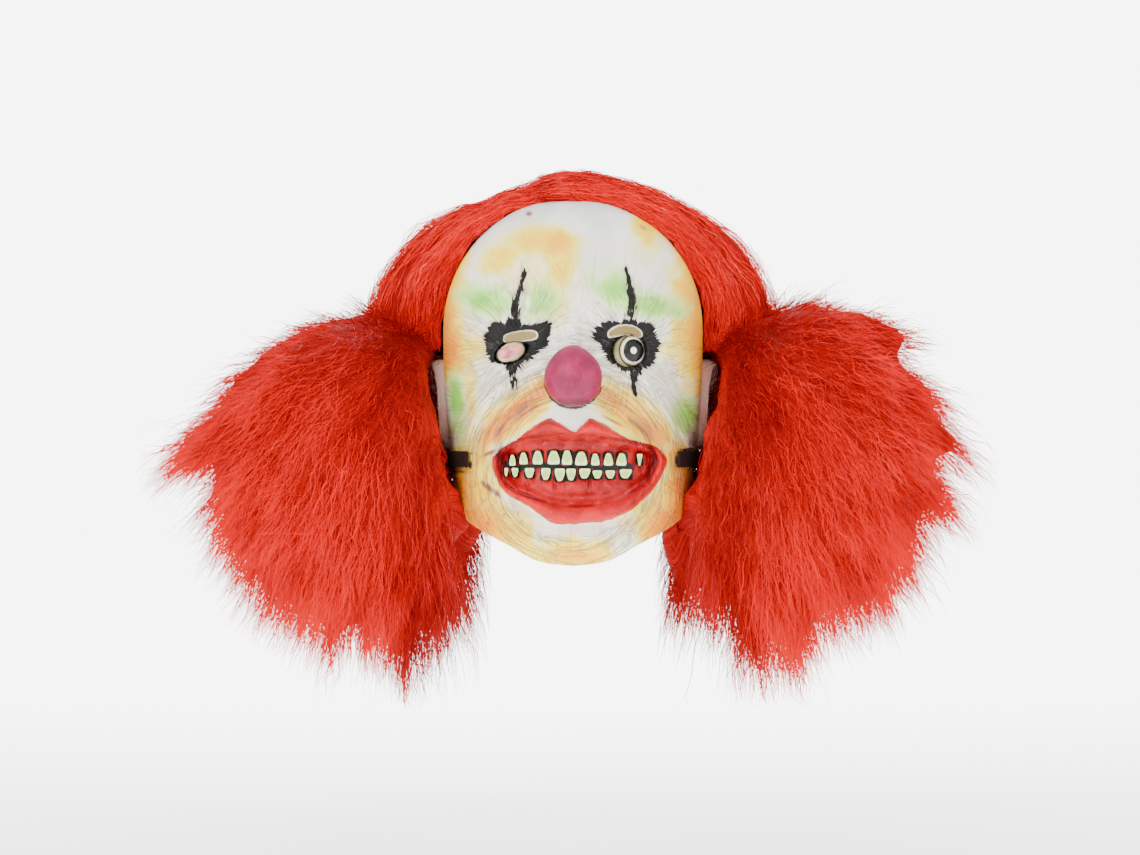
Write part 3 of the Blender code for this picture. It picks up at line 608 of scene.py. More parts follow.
def hood_grid(turn, row, rows):
    """Angle and height for the rows of a sphere, close together on the face."""
    angle = turn - FRONT_FAVOUR * np.sin(turn)
    share = np.minimum(row / rows, 1.0)
    crown = TEMPLE_Z + CROWN_RISE * np.cos(math.pi / 2 * np.minimum(share / CROWN_SHARE, 1.0))
    low = rim_z(angle)
    jaw = TEMPLE_Z - (TEMPLE_Z - low) * (share - CROWN_SHARE) / (1 - CROWN_SHARE)
    return angle, np.where(share < CROWN_SHARE, crown, jaw)


def add_sphere(name, columns, rows):
    """A new sphere, with the turn round from the front and the row of each point."""
    bpy.ops.mesh.primitive_uv_sphere_add(segments=columns, ring_count=rows, radius=1)
    piece = new_piece(name)
    points = read_points(piece)
    row = np.rint(np.arccos(np.clip(points[:, 2], -1, 1)) / math.pi * rows)
    return piece, np.arctan2(points[:, 0], -points[:, 1]), row


def fold_depth(x, z):
    """Depth of the folds of the latex: broken lines that run round or out of their middles."""
    wander = 0.5 * noise_at(x, z, 0.016, 1) + 0.15 * noise_at(x, z, 0.005, 2)
    total = np.zeros_like(x)
    for number, fold in enumerate(FOLDS):
        dx, dz = x - across(fold.column), z - height(fold.row)
        radius = np.hypot(dx, dz) / PIXEL
        around = np.degrees(np.arctan2(dz, dx))
        middle = (fold.start + fold.end) / 2
        around = middle + (around - middle + 180) % 360 - 180
        mask = (smoothstep(fold.near - FOLD_EDGE, fold.near + FOLD_EDGE, radius)
                * smoothstep(fold.far + FOLD_EDGE, fold.far - FOLD_EDGE, radius)
                * smoothstep(fold.start - 1.5 * FOLD_EDGE, fold.start + 1.5 * FOLD_EDGE, around)
                * smoothstep(fold.end + 1.5 * FOLD_EDGE, fold.end - 1.5 * FOLD_EDGE, around))
        if fold.kind == "ring":
            beside = radius / fold.spacing
            along = np.radians(around) * radius / (fold.spacing * FOLD_RUN)
        else:
            beside = around / fold.spacing
            along = radius / (4 * FOLD_RUN)
        lines = 1 - np.abs(noise(np.stack((beside + wander, along + 0.3 * wander,
                                           np.full_like(x, number * 1.7 + 0.4)), axis=-1)))
        total = np.maximum(total, fold.depth * mask * smoothstep(0.45, 1.0, lines))
    return total


def crumple(x, z):
    """Shallow crossed wrinkles over the whole face, from -1 to 1."""
    bent_x = x + 0.006 * noise_at(x, z, 0.022, 4)
    bent_z = z + 0.006 * noise_at(x, z, 0.022, 5)
    ridged = 1 - 2 * np.abs(noise_at(bent_x, bent_z, 0.0052, 6))
    return 0.4 * ridged + 0.6 * (1 - 2 * np.abs(noise_at(bent_x, bent_z, 0.0026, 7)))


def tooth_distance(x, z):
    """Distance to the nearest tooth, seen from the front."""
    best = np.full(x.shape, 1.0)
    for node in TEETH:
        low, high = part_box(node)
        half_x, half_z = (high[0] - low[0]) / 2 * TOOTH_SHARE, (high[2] - low[2]) / 2 * TOOTH_SHARE
        dx = np.maximum(np.abs(x - (low[0] + high[0]) / 2) - half_x * 0.7, 0)
        dz = np.maximum(np.abs(z - (low[2] + high[2]) / 2) - half_z * 0.7, 0)
        best = np.minimum(best, np.hypot(dx, dz) - 0.3 * half_x)
    return best


def gum_grooves(x, z):
    """Upright grooves between the roots of the teeth, 1 at their middles."""
    from_bite = z - bite_height(x)
    parted = np.zeros_like(x)
    for row, sign in (("upper", 1), ("lower", -1)):
        middles = [middle_of(node)[0] for node in TEETH if row in node]
        for a, b in zip(middles, middles[1:]):
            lean = 0.35 * np.abs(from_bite) * x / 0.05 + 0.0012 * noise_at(x, z, 0.006, 21)
            away = from_bite * sign
            reach = smoothstep(0.003, 0.007, away) * smoothstep(0.020, 0.013, away)
            weight = 0.35 if sign > 0 else 0.55 + 0.45 * math.sin(a * 900)
            parted += weight * reach * np.exp(-((x - (a + b) / 2 + lean) / GROOVE_WIDTH) ** 2)
    return np.clip(parted, 0, 1)


def gum_relief(x, z, mouth):
    """Flesh round the roots of the teeth, parted by a groove between each two."""
    from_bite = z - bite_height(x)
    upper = np.exp(-((from_bite - UPPER_GUM) / 0.0042) ** 2)
    lower = np.exp(-((from_bite + LOWER_GUM) / 0.0070) ** 2)
    inside = smoothstep(0.0, 0.003, -mouth)
    return inside * (UPPER_GUM_RISE * upper + LOWER_GUM_RISE * lower) * (1 - 0.7 * gum_grooves(x, z))


def bite_height(x):
    """The wavering line between the two rows of teeth."""
    low = [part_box(n) for n in TEETH if "lower" in n]
    high = [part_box(n) for n in TEETH if "upper" in n]
    middle = (np.median([b[0][2] for b in high]) + np.median([b[1][2] for b in low])) / 2
    return middle + 0.0011 * np.sin(x * 210) + 0.0008 * np.sin(x * 530 + 1.0)


def blot_field(paint, x, z):
    """How much of one soft paint lies at each place, its edges broken by noise."""
    total = np.zeros_like(x)
    rag = 0.26 * noise_at(x, z, 0.0110, 8) + 0.14 * noise_at(x, z, 0.0045, 9)
    for blot in BLOTS:
        if blot.paint != paint:
            continue
        radius = oval_radius(blot, x, z) / BLOT_SPREAD + rag
        total = np.maximum(total, blot.strength * smoothstep(1.50, 0.10, radius))
    return total


def stroke_places(x, z):
    """Places in a pattern of brush strokes that run out of the nearer eye."""
    left, right = (EYE_HOLLOWS[name] for name in ("left", "right"))
    column = np.where(x < across(NOSE_MIDDLE[0]), left.column, right.column)
    row = np.where(x < across(NOSE_MIDDLE[0]), left.row, right.row)
    dx, dz = (x - across(column)) / PIXEL, (z - height(row)) / PIXEL
    radius = np.hypot(dx, dz) + 1
    return np.stack((dx / radius * 14, dz / radius * 14, radius / 15), axis=1)


def brushed_edge(x, z):
    """Shift of the black paint's edge, drawn out in strokes round each eye."""
    total = np.zeros_like(x)
    for hollow in EYE_HOLLOWS.values():
        dx, dz = from_place(hollow, x, z)
        radius = np.hypot(dx, dz)
        strokes = noise(np.stack((dx / (radius + 1) * 5, dz / (radius + 1) * 5, radius / 16), axis=-1))
        total += smoothstep(52, 40, radius) * PAINT_RAG * strokes
    return total


def peep_lines():
    lines = []
    for peep in PEEPS.values():
        turn = math.radians(peep.slant)
        around = np.linspace(0, 2 * math.pi, PEEP_STEPS, endpoint=False)
        dx = PEEP_LENGTH / 2 * signed_power(np.cos(around), 0.75)
        dz = PEEP_HEIGHT / 2 * signed_power(np.sin(around), 0.60)
        dz += peep.bend * (0.5 - (2 * dx / PEEP_LENGTH) ** 2)
        x = peep.across * HALF_WIDTH + dx * math.cos(turn) - dz * math.sin(turn)
        z = TEMPLE_Z - peep.drop * CHIN_DROP + dz * math.cos(turn) + dx * math.sin(turn)
        lines.append(np.stack((x, z), axis=1))
    return lines


def peep_distance(x, z):
    return np.min([distance_inside(line, x, z) for line in peep_lines()], axis=0)


def open_peeps(piece, depth):
    """Fit the mesh to the two slits' edges, cut them out and turn the edge inwards."""
    points = read_points(piece)
    near = np.where((points[:, 1] < 0) & (np.abs(points[:, 2] - TEMPLE_Z) < PEEP_ZONE))[0]
    x, z = points[near, 0], points[near, 2]
    gap = peep_distance(x, z)
    step = TEST_STEP
    slope_x = (peep_distance(x + step, z) - peep_distance(x - step, z)) / (2 * step)
    slope_z = (peep_distance(x, z + step) - peep_distance(x, z - step)) / (2 * step)
    snap = np.abs(gap) < PEEP_SNAP
    points[near[snap], 0] -= (gap * slope_x)[snap]
    points[near[snap], 2] -= (gap * slope_z)[snap]
    write_points(piece, points)
    gone = set(near[(gap < 0) | snap].tolist())
    bm = bmesh.new()
    bm.from_mesh(piece.data)
    within = all if depth else any
    doomed = [face for face in bm.faces if within(v.index in gone for v in face.verts)]
    bmesh.ops.delete(bm, geom=doomed, context="FACES")
    edges = [e for e in bm.edges if e.is_boundary and abs(e.verts[0].co.z - TEMPLE_Z) < PEEP_ZONE]
    if depth:
        turned = bmesh.ops.extrude_edge_only(bm, edges=edges)["geom"]
        for vert in (v for v in turned if isinstance(v, bmesh.types.BMVert)):
            vert.co.y += depth
    bm.to_mesh(piece.data)
    bm.free()


def drop_rows(piece, row, last):
    """Take away the faces beyond the last row."""
    bm = bmesh.new()
    bm.from_mesh(piece.data)
    bm.verts.ensure_lookup_table()
    doomed = [bm.verts[i] for i in np.where(row > last)[0]]
    bmesh.ops.delete(bm, geom=doomed, context="VERTS")
    bm.to_mesh(piece.data)
    bm.free()


def rolled_rim(x, y, past_rows):
    """Shift of the rows past the lower edge, which roll round to the inside of the wall."""
    past = np.clip(past_rows, 0, RIM_ROWS) / RIM_ROWS
    to_axis = np.stack((x, y, np.zeros_like(x)), axis=1)
    to_axis /= -np.linalg.norm(to_axis, axis=1)[:, None] + 1e-12
    shift = to_axis * (WALL * (1 - np.cos(math.pi * past)) / 2)[:, None]
    shift[:, 2] -= WALL / 2 * np.sin(math.pi * past)
    return shift


def nose_shadow(x, z):
    """Distance to the line of painted shadow round the ball nose's glued edge, which fades away upwards."""
    middle_x, middle_z = across(NOSE_MIDDLE[0]), height(NOSE_MIDDLE[1])
    from_nose = np.hypot(x - middle_x, z - middle_z)
    above = np.maximum(0, z - middle_z + 0.35 * NOSE_SHADOW_RADIUS)
    return np.abs(from_nose - NOSE_SHADOW_RADIUS) + 0.3 * above


def mouth_corner(x):
    """1 at the corners of the mouth and 0 over the teeth."""
    half_mouth = (MOUTH_SPAN[1] - MOUTH_SPAN[0]) / 2
    return smoothstep(0.78, 1.0, np.abs(x - across(sum(MOUTH_SPAN) / 2)) / (half_mouth * PIXEL))


def build_hood_outside():
    """The painted skin of the hood, with its relief, folds and rolled lower edge."""
    piece, turn, row = add_sphere("latex_hood", HOOD_COLUMNS, HOOD_ROWS)
    piece.data.uv_layers[0].name = "OFBake"
    rows = HOOD_ROWS - RIM_ROWS - 1
    angle, z = hood_grid(turn, row, rows)
    x, y = hood_plan(angle, z)
    facing = front_share(angle)
    seen = smoothstep(*FOLDED_FROM, np.cos(angle))

    lip = distance_inside(closed_line(LIP_EDGE), x, z)
    mouth = distance_inside(closed_line(MOUTH_EDGE), x, z)
    paint, spikes = (np.min([distance_inside(closed_line(line), x, z) for line in lines.values()],
                            axis=0) for lines in (EYE_PAINT, SPIKES))
    peeps = peep_distance(x, z)
    teeth = tooth_distance(x, z)
    for field in (lip, mouth, paint, spikes, peeps, teeth):
        field[np.cos(angle) < 0] = 1.0

    out = cast_bumps(x, z) + mouth_relief(lip, mouth) + gum_relief(x, z, mouth)
    out += LID_RISE * np.exp(-((peeps - 0.0018) / 0.0014) ** 2) + eye_relief(x, z)
    write_points(piece, np.stack((x, y - facing * out, z), axis=1))

    # The folds and the fine wrinkles go in along the surface's own direction
    bare = smoothstep(-0.0005, 0.0025, lip)
    above_rim = smoothstep(*RIM_FADE, rows - row)
    folds = fold_depth(x, z) * bare * seen * above_rim
    wrinkles = crumple(x, z) * seen * above_rim
    lips = (lip < 0) & (mouth > 0)
    inward = folds - wrinkles * (WRINKLE_DEPTH * bare + LIP_WRINKLE_DEPTH * lips)
    points = read_points(piece) - read_normals(piece) * inward[:, None]
    write_points(piece, points + rolled_rim(x, y, row - rows))

    keep_vector(piece, "strokes", stroke_places(x, z))
    numbers = {
        "eye_paint": np.minimum(paint + brushed_edge(x, z), spikes),
        "groove": gum_grooves(x, z) * smoothstep(0.0, 0.003, -mouth),
        "peep": peeps,
        "nose_shadow": nose_shadow(x, z),
        "corner": mouth_corner(x),
        "lip": lip,
        "mouth": mouth,
        "teeth_near": teeth,
        "bite": np.abs(z - bite_height(x)),
        "bite_side": smoothstep(*map(across, BITE_END), x),
        "fold": np.clip(folds / FULL_FOLD, 0, 1),
        "wrinkle": wrinkles,
    }
    for paint_name in PAINTS:
        numbers[paint_name] = blot_field(paint_name, x, z) * seen
    for name, values in numbers.items():
        keep_number(piece, name, values)
    drop_rows(piece, row, HOOD_ROWS - 1)
    open_peeps(piece, WALL)
    finish_piece(piece, painted_latex(), "face_latex", "mask_shell")


def build_hood_inside():
    """The unpainted inner side of the hood, behind the deepest of the cast forms."""
    piece, turn, row = add_sphere("hood_inside", INSIDE_COLUMNS, INSIDE_ROWS)
    rows = INSIDE_ROWS - 2
    angle, z = hood_grid(turn, row, rows)
    x, y = hood_plan(angle, z)
    facing = front_share(angle)
    reach = DEEPEST_SHIFT
    deepest = np.full(x.shape, np.inf)
    lip_line, mouth_line = closed_line(LIP_EDGE), closed_line(MOUTH_EDGE)
    for dx, dz in ((0, 0), (reach, 0), (-reach, 0), (0, reach), (0, -reach)):
        lip = distance_inside(lip_line, x + dx, z + dz)
        mouth = distance_inside(mouth_line, x + dx, z + dz)
        deepest = np.minimum(deepest, cast_bumps(x + dx, z + dz) + eye_relief(x + dx, z + dz)
                             + mouth_relief(lip, mouth))
    points = np.stack((x, y - facing * np.minimum(deepest, INSIDE_RELIEF), z), axis=1)
    write_points(piece, points)
    points = points - read_normals(piece) * WALL * 1.02
    write_points(piece, points)
    drop_rows(piece, row, rows)
    open_peeps(piece, 0)
    edit_all((bpy.ops.mesh.flip_normals, {}))
    finish_piece(piece, raw_latex(), "face_latex", "mask_shell")


# Pieces on the face

TEETH = sorted(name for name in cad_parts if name.startswith("tooth_"))


def middle_of(node):
    low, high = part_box(node)
    return [(a + b) / 2 for a, b in zip(low, high)]


def build_nose():
    """A ball drawn up to a soft point, its lower edge torn where it was glued on."""
    low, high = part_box("nose")
    piece, _, _ = add_sphere("ball_nose", 96, 64)
    points = read_points(piece)
    radius = (high[0] - low[0]) / 2
    middle = np.array((middle_of("nose")[0], low[1] + radius, low[2] + radius))
    points[:, 2] += 0.14 * np.maximum(points[:, 2], 0) ** 5
    dents = noise(points * 2.2 + 3) * 0.012 + noise(points * 7 + 9) * 0.004
    points *= (1 + dents)[:, None]
    skirt = smoothstep(-0.55, -0.9, points[:, 2])
    points *= (1 - 0.05 * skirt * (0.5 + 0.5 * noise(points * 6)))[:, None]
    points = points * radius * 0.985 + middle
    write_points(piece, points)
    keep_number(piece, "under", skirt)
    finish_piece(piece, nose_paint(), "nose_latex", "nose")


def build_right_eye():
    """The bulging eye: a ball a little taller than it is wide, with a painted iris."""
    low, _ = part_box("eye_right")
    piece, _, _ = add_sphere("bulging_eye", 64, 48)
    radius = EYE_RADIUS
    points = read_points(piece) * radius
    hollow = EYE_HOLLOWS["right"]
    middle = np.array((across(hollow.column), low[1] + radius, height(hollow.row + 1.5)))
    write_points(piece, points * (1.0, 1.0, 1.10) + middle)
    iris = np.hypot(points[:, 0] - 6.0 * PIXEL, points[:, 2] - 1.2 * PIXEL)
    keep_number(piece, "iris", np.where(points[:, 1] < 0, iris, 1.0))
    keep_number(piece, "rim", np.hypot(points[:, 0], points[:, 2]) / radius)
    finish_piece(piece, eye_paint_ball(), "eye_enamel", "eye_right")


def build_left_eye():
    """The squinting eye: a swollen lid with a pink split, slanted up to the brow."""
    low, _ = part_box("eye_left")
    piece, _, _ = add_sphere("squinting_eye", 64, 48)
    points = read_points(piece)
    keep_number(piece, "split", np.hypot(points[:, 0] / 0.88, (points[:, 2] - 0.12) / 0.66))
    keep_number(piece, "rim", np.hypot(points[:, 0], points[:, 2]))
    hollow = EYE_HOLLOWS["left"]
    slant = math.radians(hollow.slant)
    depth = 0.6 * EYE_RADIUS
    x = points[:, 0] * hollow.half_width * PIXEL
    z = points[:, 2] * hollow.half_height * PIXEL
    places = np.stack((x * math.cos(slant) - z * math.sin(slant) + across(hollow.column),
                       points[:, 1] * depth + low[1] + depth,
                       x * math.sin(slant) + z * math.cos(slant) + height(hollow.row)), axis=1)
    write_points(piece, places)
    finish_piece(piece, lid_paint(), "eye_enamel", "eye_left")


def build_tooth(node, finish):
    """One tooth: a block narrowed to its root, rounded all over and slightly crooked."""
    low, high = (np.array(corner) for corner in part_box(node))
    size = high - low
    bpy.ops.mesh.primitive_cube_add(size=1)
    piece = new_piece(node.replace("tooth", "fang") if node.endswith("upper_10") else node + "_enamel")
    edit_all((bpy.ops.mesh.subdivide, {"number_cuts": 2}))
    root = 1 if "upper" in node else -1
    points = read_points(piece)
    toward_root = points[:, 2] * root + 0.5
    narrow = 1 - 0.62 * toward_root ** 2.2
    if piece.name.startswith("fang"):
        narrow = 0.25 + 0.75 * toward_root
    points[:, 0] *= narrow
    points[:, 1] -= 0.10 * toward_root * (points[:, 1] < 0)
    write_points(piece, points)
    modify(piece, "round", "SUBSURF", levels=2, render_levels=2)
    points = read_points(piece)
    points /= np.abs(points).max(axis=0) * 2
    jitter = noise(np.array([[low[0] * 300, low[2] * 300, 0.5]]))[0]
    points[:, 0] += 0.08 * jitter * points[:, 2]
    keep_number(piece, "edge", np.hypot(points[:, 0] * 2, points[:, 2] * 2))
    keep_number(piece, "root", points[:, 2] * root)
    write_points(piece, points * size * (TOOTH_SHARE, 1.0, TOOTH_SHARE) + (low + high) / 2)
    finish_piece(piece, finish, "tooth_enamel", node)


EAR_HEIGHT = 0.064
EAR_LENGTH = 0.034
EAR_BACK = 0.012
EAR_DROP = 0.055
EAR_STAND = 0.0125
EarRing = namedtuple("EarRing", "radius front rear")
EAR_RINGS = (
    EarRing(0.00, 0.24, 0.20),
    EarRing(0.40, 0.30, 0.25),
    EarRing(0.58, 0.34, 0.30),
    EarRing(0.68, 0.42, 0.62),
    EarRing(0.76, 0.34, 0.55),
    EarRing(0.84, 0.40, 0.90),
    EarRing(0.93, 0.46, 1.04),
    EarRing(1.00, 0.26, 0.80),
    EarRing(1.02, 0.05, 0.40),
    EarRing(1.02, -0.20, -0.20),
)


def side_x(y, z):
    width, front, back = section(z)
    depth = np.where(y < 0, front, back)
    share = np.maximum(0.0, 1.0 - np.abs(y / depth) ** SECTION_POWER)
    return width * share ** (1.0 / SECTION_POWER)


def build_ear(name, side):
    """Dished ear with a rolled edge and an inner fold, highest at the rear."""
    piece, turn, row = add_sphere("soft_ear_" + name, 56, 44)
    place = row / row.max() * (len(EAR_RINGS) - 1)
    rings = np.arange(len(EAR_RINGS))
    radius = np.interp(place, rings, [ring.radius for ring in EAR_RINGS])
    around = turn
    rear = smoothstep(-0.9, 0.9, np.cos(around - 0.35))
    front_stand = np.interp(place, rings, [ring.front for ring in EAR_RINGS])
    rear_stand = np.interp(place, rings, [ring.rear for ring in EAR_RINGS])
    stand = EAR_STAND * (front_stand + (rear_stand - front_stand) * rear)
    wave = 1 + 0.03 * np.cos(3 * around + 0.5)
    y = EAR_BACK + radius * wave * EAR_LENGTH / 2 * np.cos(around)
    z = TEMPLE_Z - EAR_DROP + radius * wave * EAR_HEIGHT / 2 * np.sin(around)
    stand += 0.0006 * noise(np.stack((y, z, stand), axis=1) * 160)
    write_points(piece, np.stack((side * (side_x(y, z) + stand), y, z), axis=1))
    keep_number(piece, "hollow", smoothstep(0.75, 0.2, stand / EAR_STAND))
    edit_all(MERGE, FACE_OUTWARDS)
    finish_piece(piece, EAR_FINISH, "ear_latex", "ear_" + name)


STRAP_DROP = 0.094
STRAP_WIDTH = 0.011
STRAP_THICKNESS = 0.0016
STRAP_FRONT_ANGLE = 54.0
STRAP_GAP = 0.0004


def build_strap():
    """Woven band from one cheek slot round the back of the hood to the other."""
    around_steps, width_steps = 220, 8
    bpy.ops.mesh.primitive_grid_add(x_subdivisions=around_steps, y_subdivisions=width_steps, size=2)
    piece = new_piece("woven_strap")
    points = read_points(piece)
    u, v = (points[:, 0] + 1) / 2, points[:, 1]
    start = math.radians(STRAP_FRONT_ANGLE)
    angle = start + (2 * math.pi - 2 * start) * u
    ribs = 0.00014 * np.cos(v * math.pi * 4.5) - 0.0004 * v ** 6
    z = TEMPLE_Z - STRAP_DROP + v * STRAP_WIDTH / 2
    step = 0.01
    x, y = hood_plan(angle, z)
    ahead_x, ahead_y = hood_plan(angle + step, z)
    behind_x, behind_y = hood_plan(angle - step, z)
    outward = np.stack((ahead_y - behind_y, behind_x - ahead_x), axis=1)
    outward /= np.linalg.norm(outward, axis=1)[:, None]
    facing = front_share(angle)
    y -= facing * cast_bumps(x, z)
    away = STRAP_GAP + STRAP_THICKNESS + ribs
    write_points(piece, np.stack((x + outward[:, 0] * away, y + outward[:, 1] * away, z), axis=1))
    along = u * (2 * math.pi - 2 * start) * (HALF_WIDTH + BACK_DEPTH) / 2
    keep_number(piece, "along", along)
    keep_number(piece, "beside", v * STRAP_WIDTH / 2)
    modify(piece, "thickness", "SOLIDIFY", thickness=STRAP_THICKNESS, offset=1)
    edit_all(FACE_OUTWARDS)
    finish_piece(piece, webbing(), "strap_webbing", "strap")


# Finishes

def flow_lines(f, column, row, around, out, near, far, strength):
    """Fine grooves that run round or out of a place on the face, between two distances from it."""
    x = f.node("ShaderNodeSeparateXYZ", inputs={0: f.places}, output="X") - across(column)
    z = f.node("ShaderNodeSeparateXYZ", inputs={0: f.places}, output="Z") - height(row)
    radius = (x * x + z * z) ** 0.5
    place = f.node("ShaderNodeCombineXYZ", inputs={
        "X": x / radius * around, "Y": z / radius * around, "Z": radius * out})
    lines = f.noise(1.0, detail=2, distortion=1.1, vector=place) - 0.5
    shown = f.smooth(radius, near, near * 1.25) * f.smooth(radius, far, far * 0.7)
    return f.smooth(lines.math("ABSOLUTE", lines), 0.055, 0.0) * shown * strength


FlowLines = namedtuple("FlowLines", "column row around out near far strength")
FLOWS = (
    FlowLines(519, 345, 6.0, 30, 0.021, 0.052, 1.0),
    FlowLines(630, 350, 6.0, 30, 0.021, 0.052, 1.0),
    FlowLines(574, 470, 1.6, 250, 0.042, 0.105, 1.5),
    FlowLines(574, 420, 9.0, 22, 0.066, 0.150, 0.55),
)


def sponged(f, color):
    """Soft paints dabbed on one after another, thin or thick as the blots say."""
    sponge = 0.75 + 0.5 * f.noise(60, detail=6)
    for name, (pale, deep) in PAINTS.items():
        amount = f.attribute(name) * sponge
        shade = f.mix(f.smooth(amount, 0.35, 1.05), tint(pale), tint(deep))
        color = f.mix(f.smooth(amount, 0.0, 0.62), color, shade)
    return color


def mouth_red(f, color, patches, wave):
    """Red lips and gums, painted shade in the lip creases, gum grooves, mouth corners and along the inner
    lip edge, painted highlight flecks, and dark between the teeth.
    """
    lip, mouth = f.attribute("lip"), f.attribute("mouth")
    red = f.mix(f.smooth(f.noise(60, detail=4), 0.32, 0.70), tint("CC0012"), tint("9A000C"))
    # Painted shade in the sunken creases of the lips
    red = f.mix(f.smooth(f.attribute("wrinkle"), -0.1, -0.8) * 0.6, red, tint("74061A"))
    # Painted highlight: pale red flecks on the lips
    red = f.mix(f.smooth(f.noise(300, detail=3), 0.60, 0.76) * 0.25, red, tint("E23C4C"))
    color = f.mix(f.smooth(lip + wave, 0.0006, -0.0006), color, red)
    gum = f.mix(f.smooth(f.noise(80, detail=4), 0.3, 0.7), tint("B60410"), tint("7A0008"))
    # Painted highlight: pale flecks on the gums
    gum = f.mix(f.smooth(f.noise(220, detail=2), 0.60, 0.76) * 0.3, gum, tint("DE4C58"))
    # Painted shade in the grooves between the roots
    gum = f.mix(f.attribute("groove") * f.smooth(patches, 0.35, 0.62) * 0.6, gum, tint("52040E"))
    color = f.mix(f.smooth(mouth, 0.0004, -0.0008), color, gum)
    # Painted shade in the corners of the mouth
    corner = f.attribute("corner") * f.smooth(mouth, 0.0010, -0.0010)
    color = f.mix(corner * 0.8, color, tint("3A040A"))
    # Painted shade along the inner edge of the lips, where they roll into the mouth
    inner_lip_shade = f.smooth(mouth, -0.0022, -0.0006) * f.smooth(mouth, 0.0016, 0.0002)
    color = f.mix(inner_lip_shade * f.smooth(f.noise(50, detail=3), 0.35, 0.60) * 0.7, color, tint("4A0612"))
    near = f.smooth(f.attribute("teeth_near") + wave * 0.4, 0.0013, 0.0005)
    gap = f.smooth(f.attribute("bite") + wave * 0.5, 0.0030, 0.0016) * f.smooth(mouth, -0.0030, -0.0060)
    gap = gap * f.smooth(f.attribute("bite_side"), 1.0, 0.0)
    dark = f.mix(f.smooth(gap, 0.5, 1.0), tint("100A08"), tint("0A1A1A"))
    return f.mix(near.math("MAXIMUM", near, gap), color, dark)


def eye_black(f, color):
    """Black brushed on round the eyes over a grey halo, its grey streaks a painted highlight on the
    strokes, and where the black lies.
    """
    paint = f.attribute("eye_paint")
    brushed = f.noise(1.0, detail=4, distortion=0.4, vector=f.attribute_vector("strokes")) - 0.5
    black = f.smooth(paint + brushed * 0.0105, 0.00045, -0.00045)
    # Painted highlight: grey streaks on the brush strokes of the black
    ink = f.mix(f.smooth(brushed, 0.07, 0.24), tint("060505"), tint("4E4745"))
    halo = f.smooth(paint + brushed * 0.016, 0.0034, 0.0002)
    color = f.mix(halo * 0.35, color, tint("7E786C"))
    return f.mix(black, color, ink), black


def painted_latex():
    """Cream latex with sponged and brushed paint, painted shade sunk into the folds, grooves and under the
    nose, and painted highlight on the fine ridges.
    """
    f = Finish("painted_latex", Subsurface_Weight=0.06, Specular_IOR_Level=0.22)
    patches = f.noise(26, detail=4)
    fine = f.noise(240, detail=5)
    grain = f.noise(900, detail=2)
    wave = (f.noise(170, detail=4) - 0.5) * 0.0030
    color = f.mix(f.smooth(patches, 0.35, 0.68), tint("FAF7E9"), tint("EDE8D8"))
    up = f.node("ShaderNodeSeparateXYZ", inputs={0: f.places}, output="Z")
    forehead = f.smooth(up, -0.075, -0.020) * f.smooth(f.noise(14, detail=3), 0.30, 0.62)
    color = sponged(f, f.mix(forehead * 0.85, color, tint("CDD0CC")))
    flows = 0.0
    for flow in FLOWS:
        flows = flows + flow_lines(f, *flow)
    # Painted shade: the fine grooves darkened towards grey-brown
    color = f.mix(flows * 0.30, color, tint("B09A74"))
    # Painted shade: darker colour sunk into the folds
    in_fold = f.smooth(f.attribute("fold") + (fine - 0.5) * 0.5, 0.30, 1.0)
    color = f.mix(in_fold * 0.32, color, tint("A08660"))
    # Painted highlight: whiter where the fine relief stands up
    color = f.mix(f.smooth(fine, 0.60, 0.80) * 0.35, color, tint("FDFBF2"))
    color = mouth_red(f, color, patches, wave)
    color, black = eye_black(f, color)
    # Painted shadow under the rim of the ball nose
    under_nose = f.smooth(f.attribute("nose_shadow") + wave * 0.9, 0.0016, 0.0006)
    color = f.mix(under_nose * 0.95, color, tint("1C060B"))
    slit = f.smooth(f.attribute("peep"), 0.0012, 0.0007)
    f.feed("Base Color", f.mix(slit * 0.85, color, tint("EAE6C8")))

    red = f.smooth(f.attribute("lip"), 0.0005, -0.0005)
    f.feed("Roughness", 0.46 + 0.14 * fine - 0.14 * red - 0.08 * black)
    relief = fine * 0.6 + grain * 0.2 + f.noise(90, detail=6, distortion=2.0) * 0.7 - flows * 1.1
    f.feed("Normal", f.bump(relief, 0.00060))
    return f


def raw_latex():
    """Unpainted latex inside the hood, the colour of old ivory."""
    f = Finish("raw_latex", Specular_IOR_Level=0.3)
    cloud = f.noise(22, detail=5)
    f.feed("Base Color", f.mix(f.smooth(cloud, 0.3, 0.7), tint("F0E6C2"), tint("DACB9C")))
    f.feed("Roughness", 0.62 + 0.2 * cloud)
    f.feed("Normal", f.bump(f.noise(160, detail=5), 0.0006))
    return f


def nose_paint():
    """Magenta paint on latex, brushed, painted highlight flecks, and painted shade where the ball tucks
    under.
    """
    f = Finish("magenta_latex", Specular_IOR_Level=0.35, Subsurface_Weight=0.03)
    cloud = f.noise(60, detail=5)
    fine = f.noise(420, detail=4)
    color = f.mix(f.smooth(cloud, 0.32, 0.68), tint("980A44"), tint("720232"))
    # Painted highlight: paler magenta flecks
    color = f.mix(f.smooth(fine, 0.58, 0.76) * 0.4, color, tint("AC2C5C"))
    # Painted shade where the ball tucks under
    under = f.attribute("under") * (0.7 + 0.6 * cloud)
    color = f.mix(f.smooth(under, 0.1, 0.9), color, tint("64122F"))
    f.feed("Base Color", color)
    f.feed("Roughness", 0.36 + 0.22 * fine)
    f.feed("Normal", f.bump(fine * 0.5 + f.noise(150, detail=4), 0.0006))
    return f


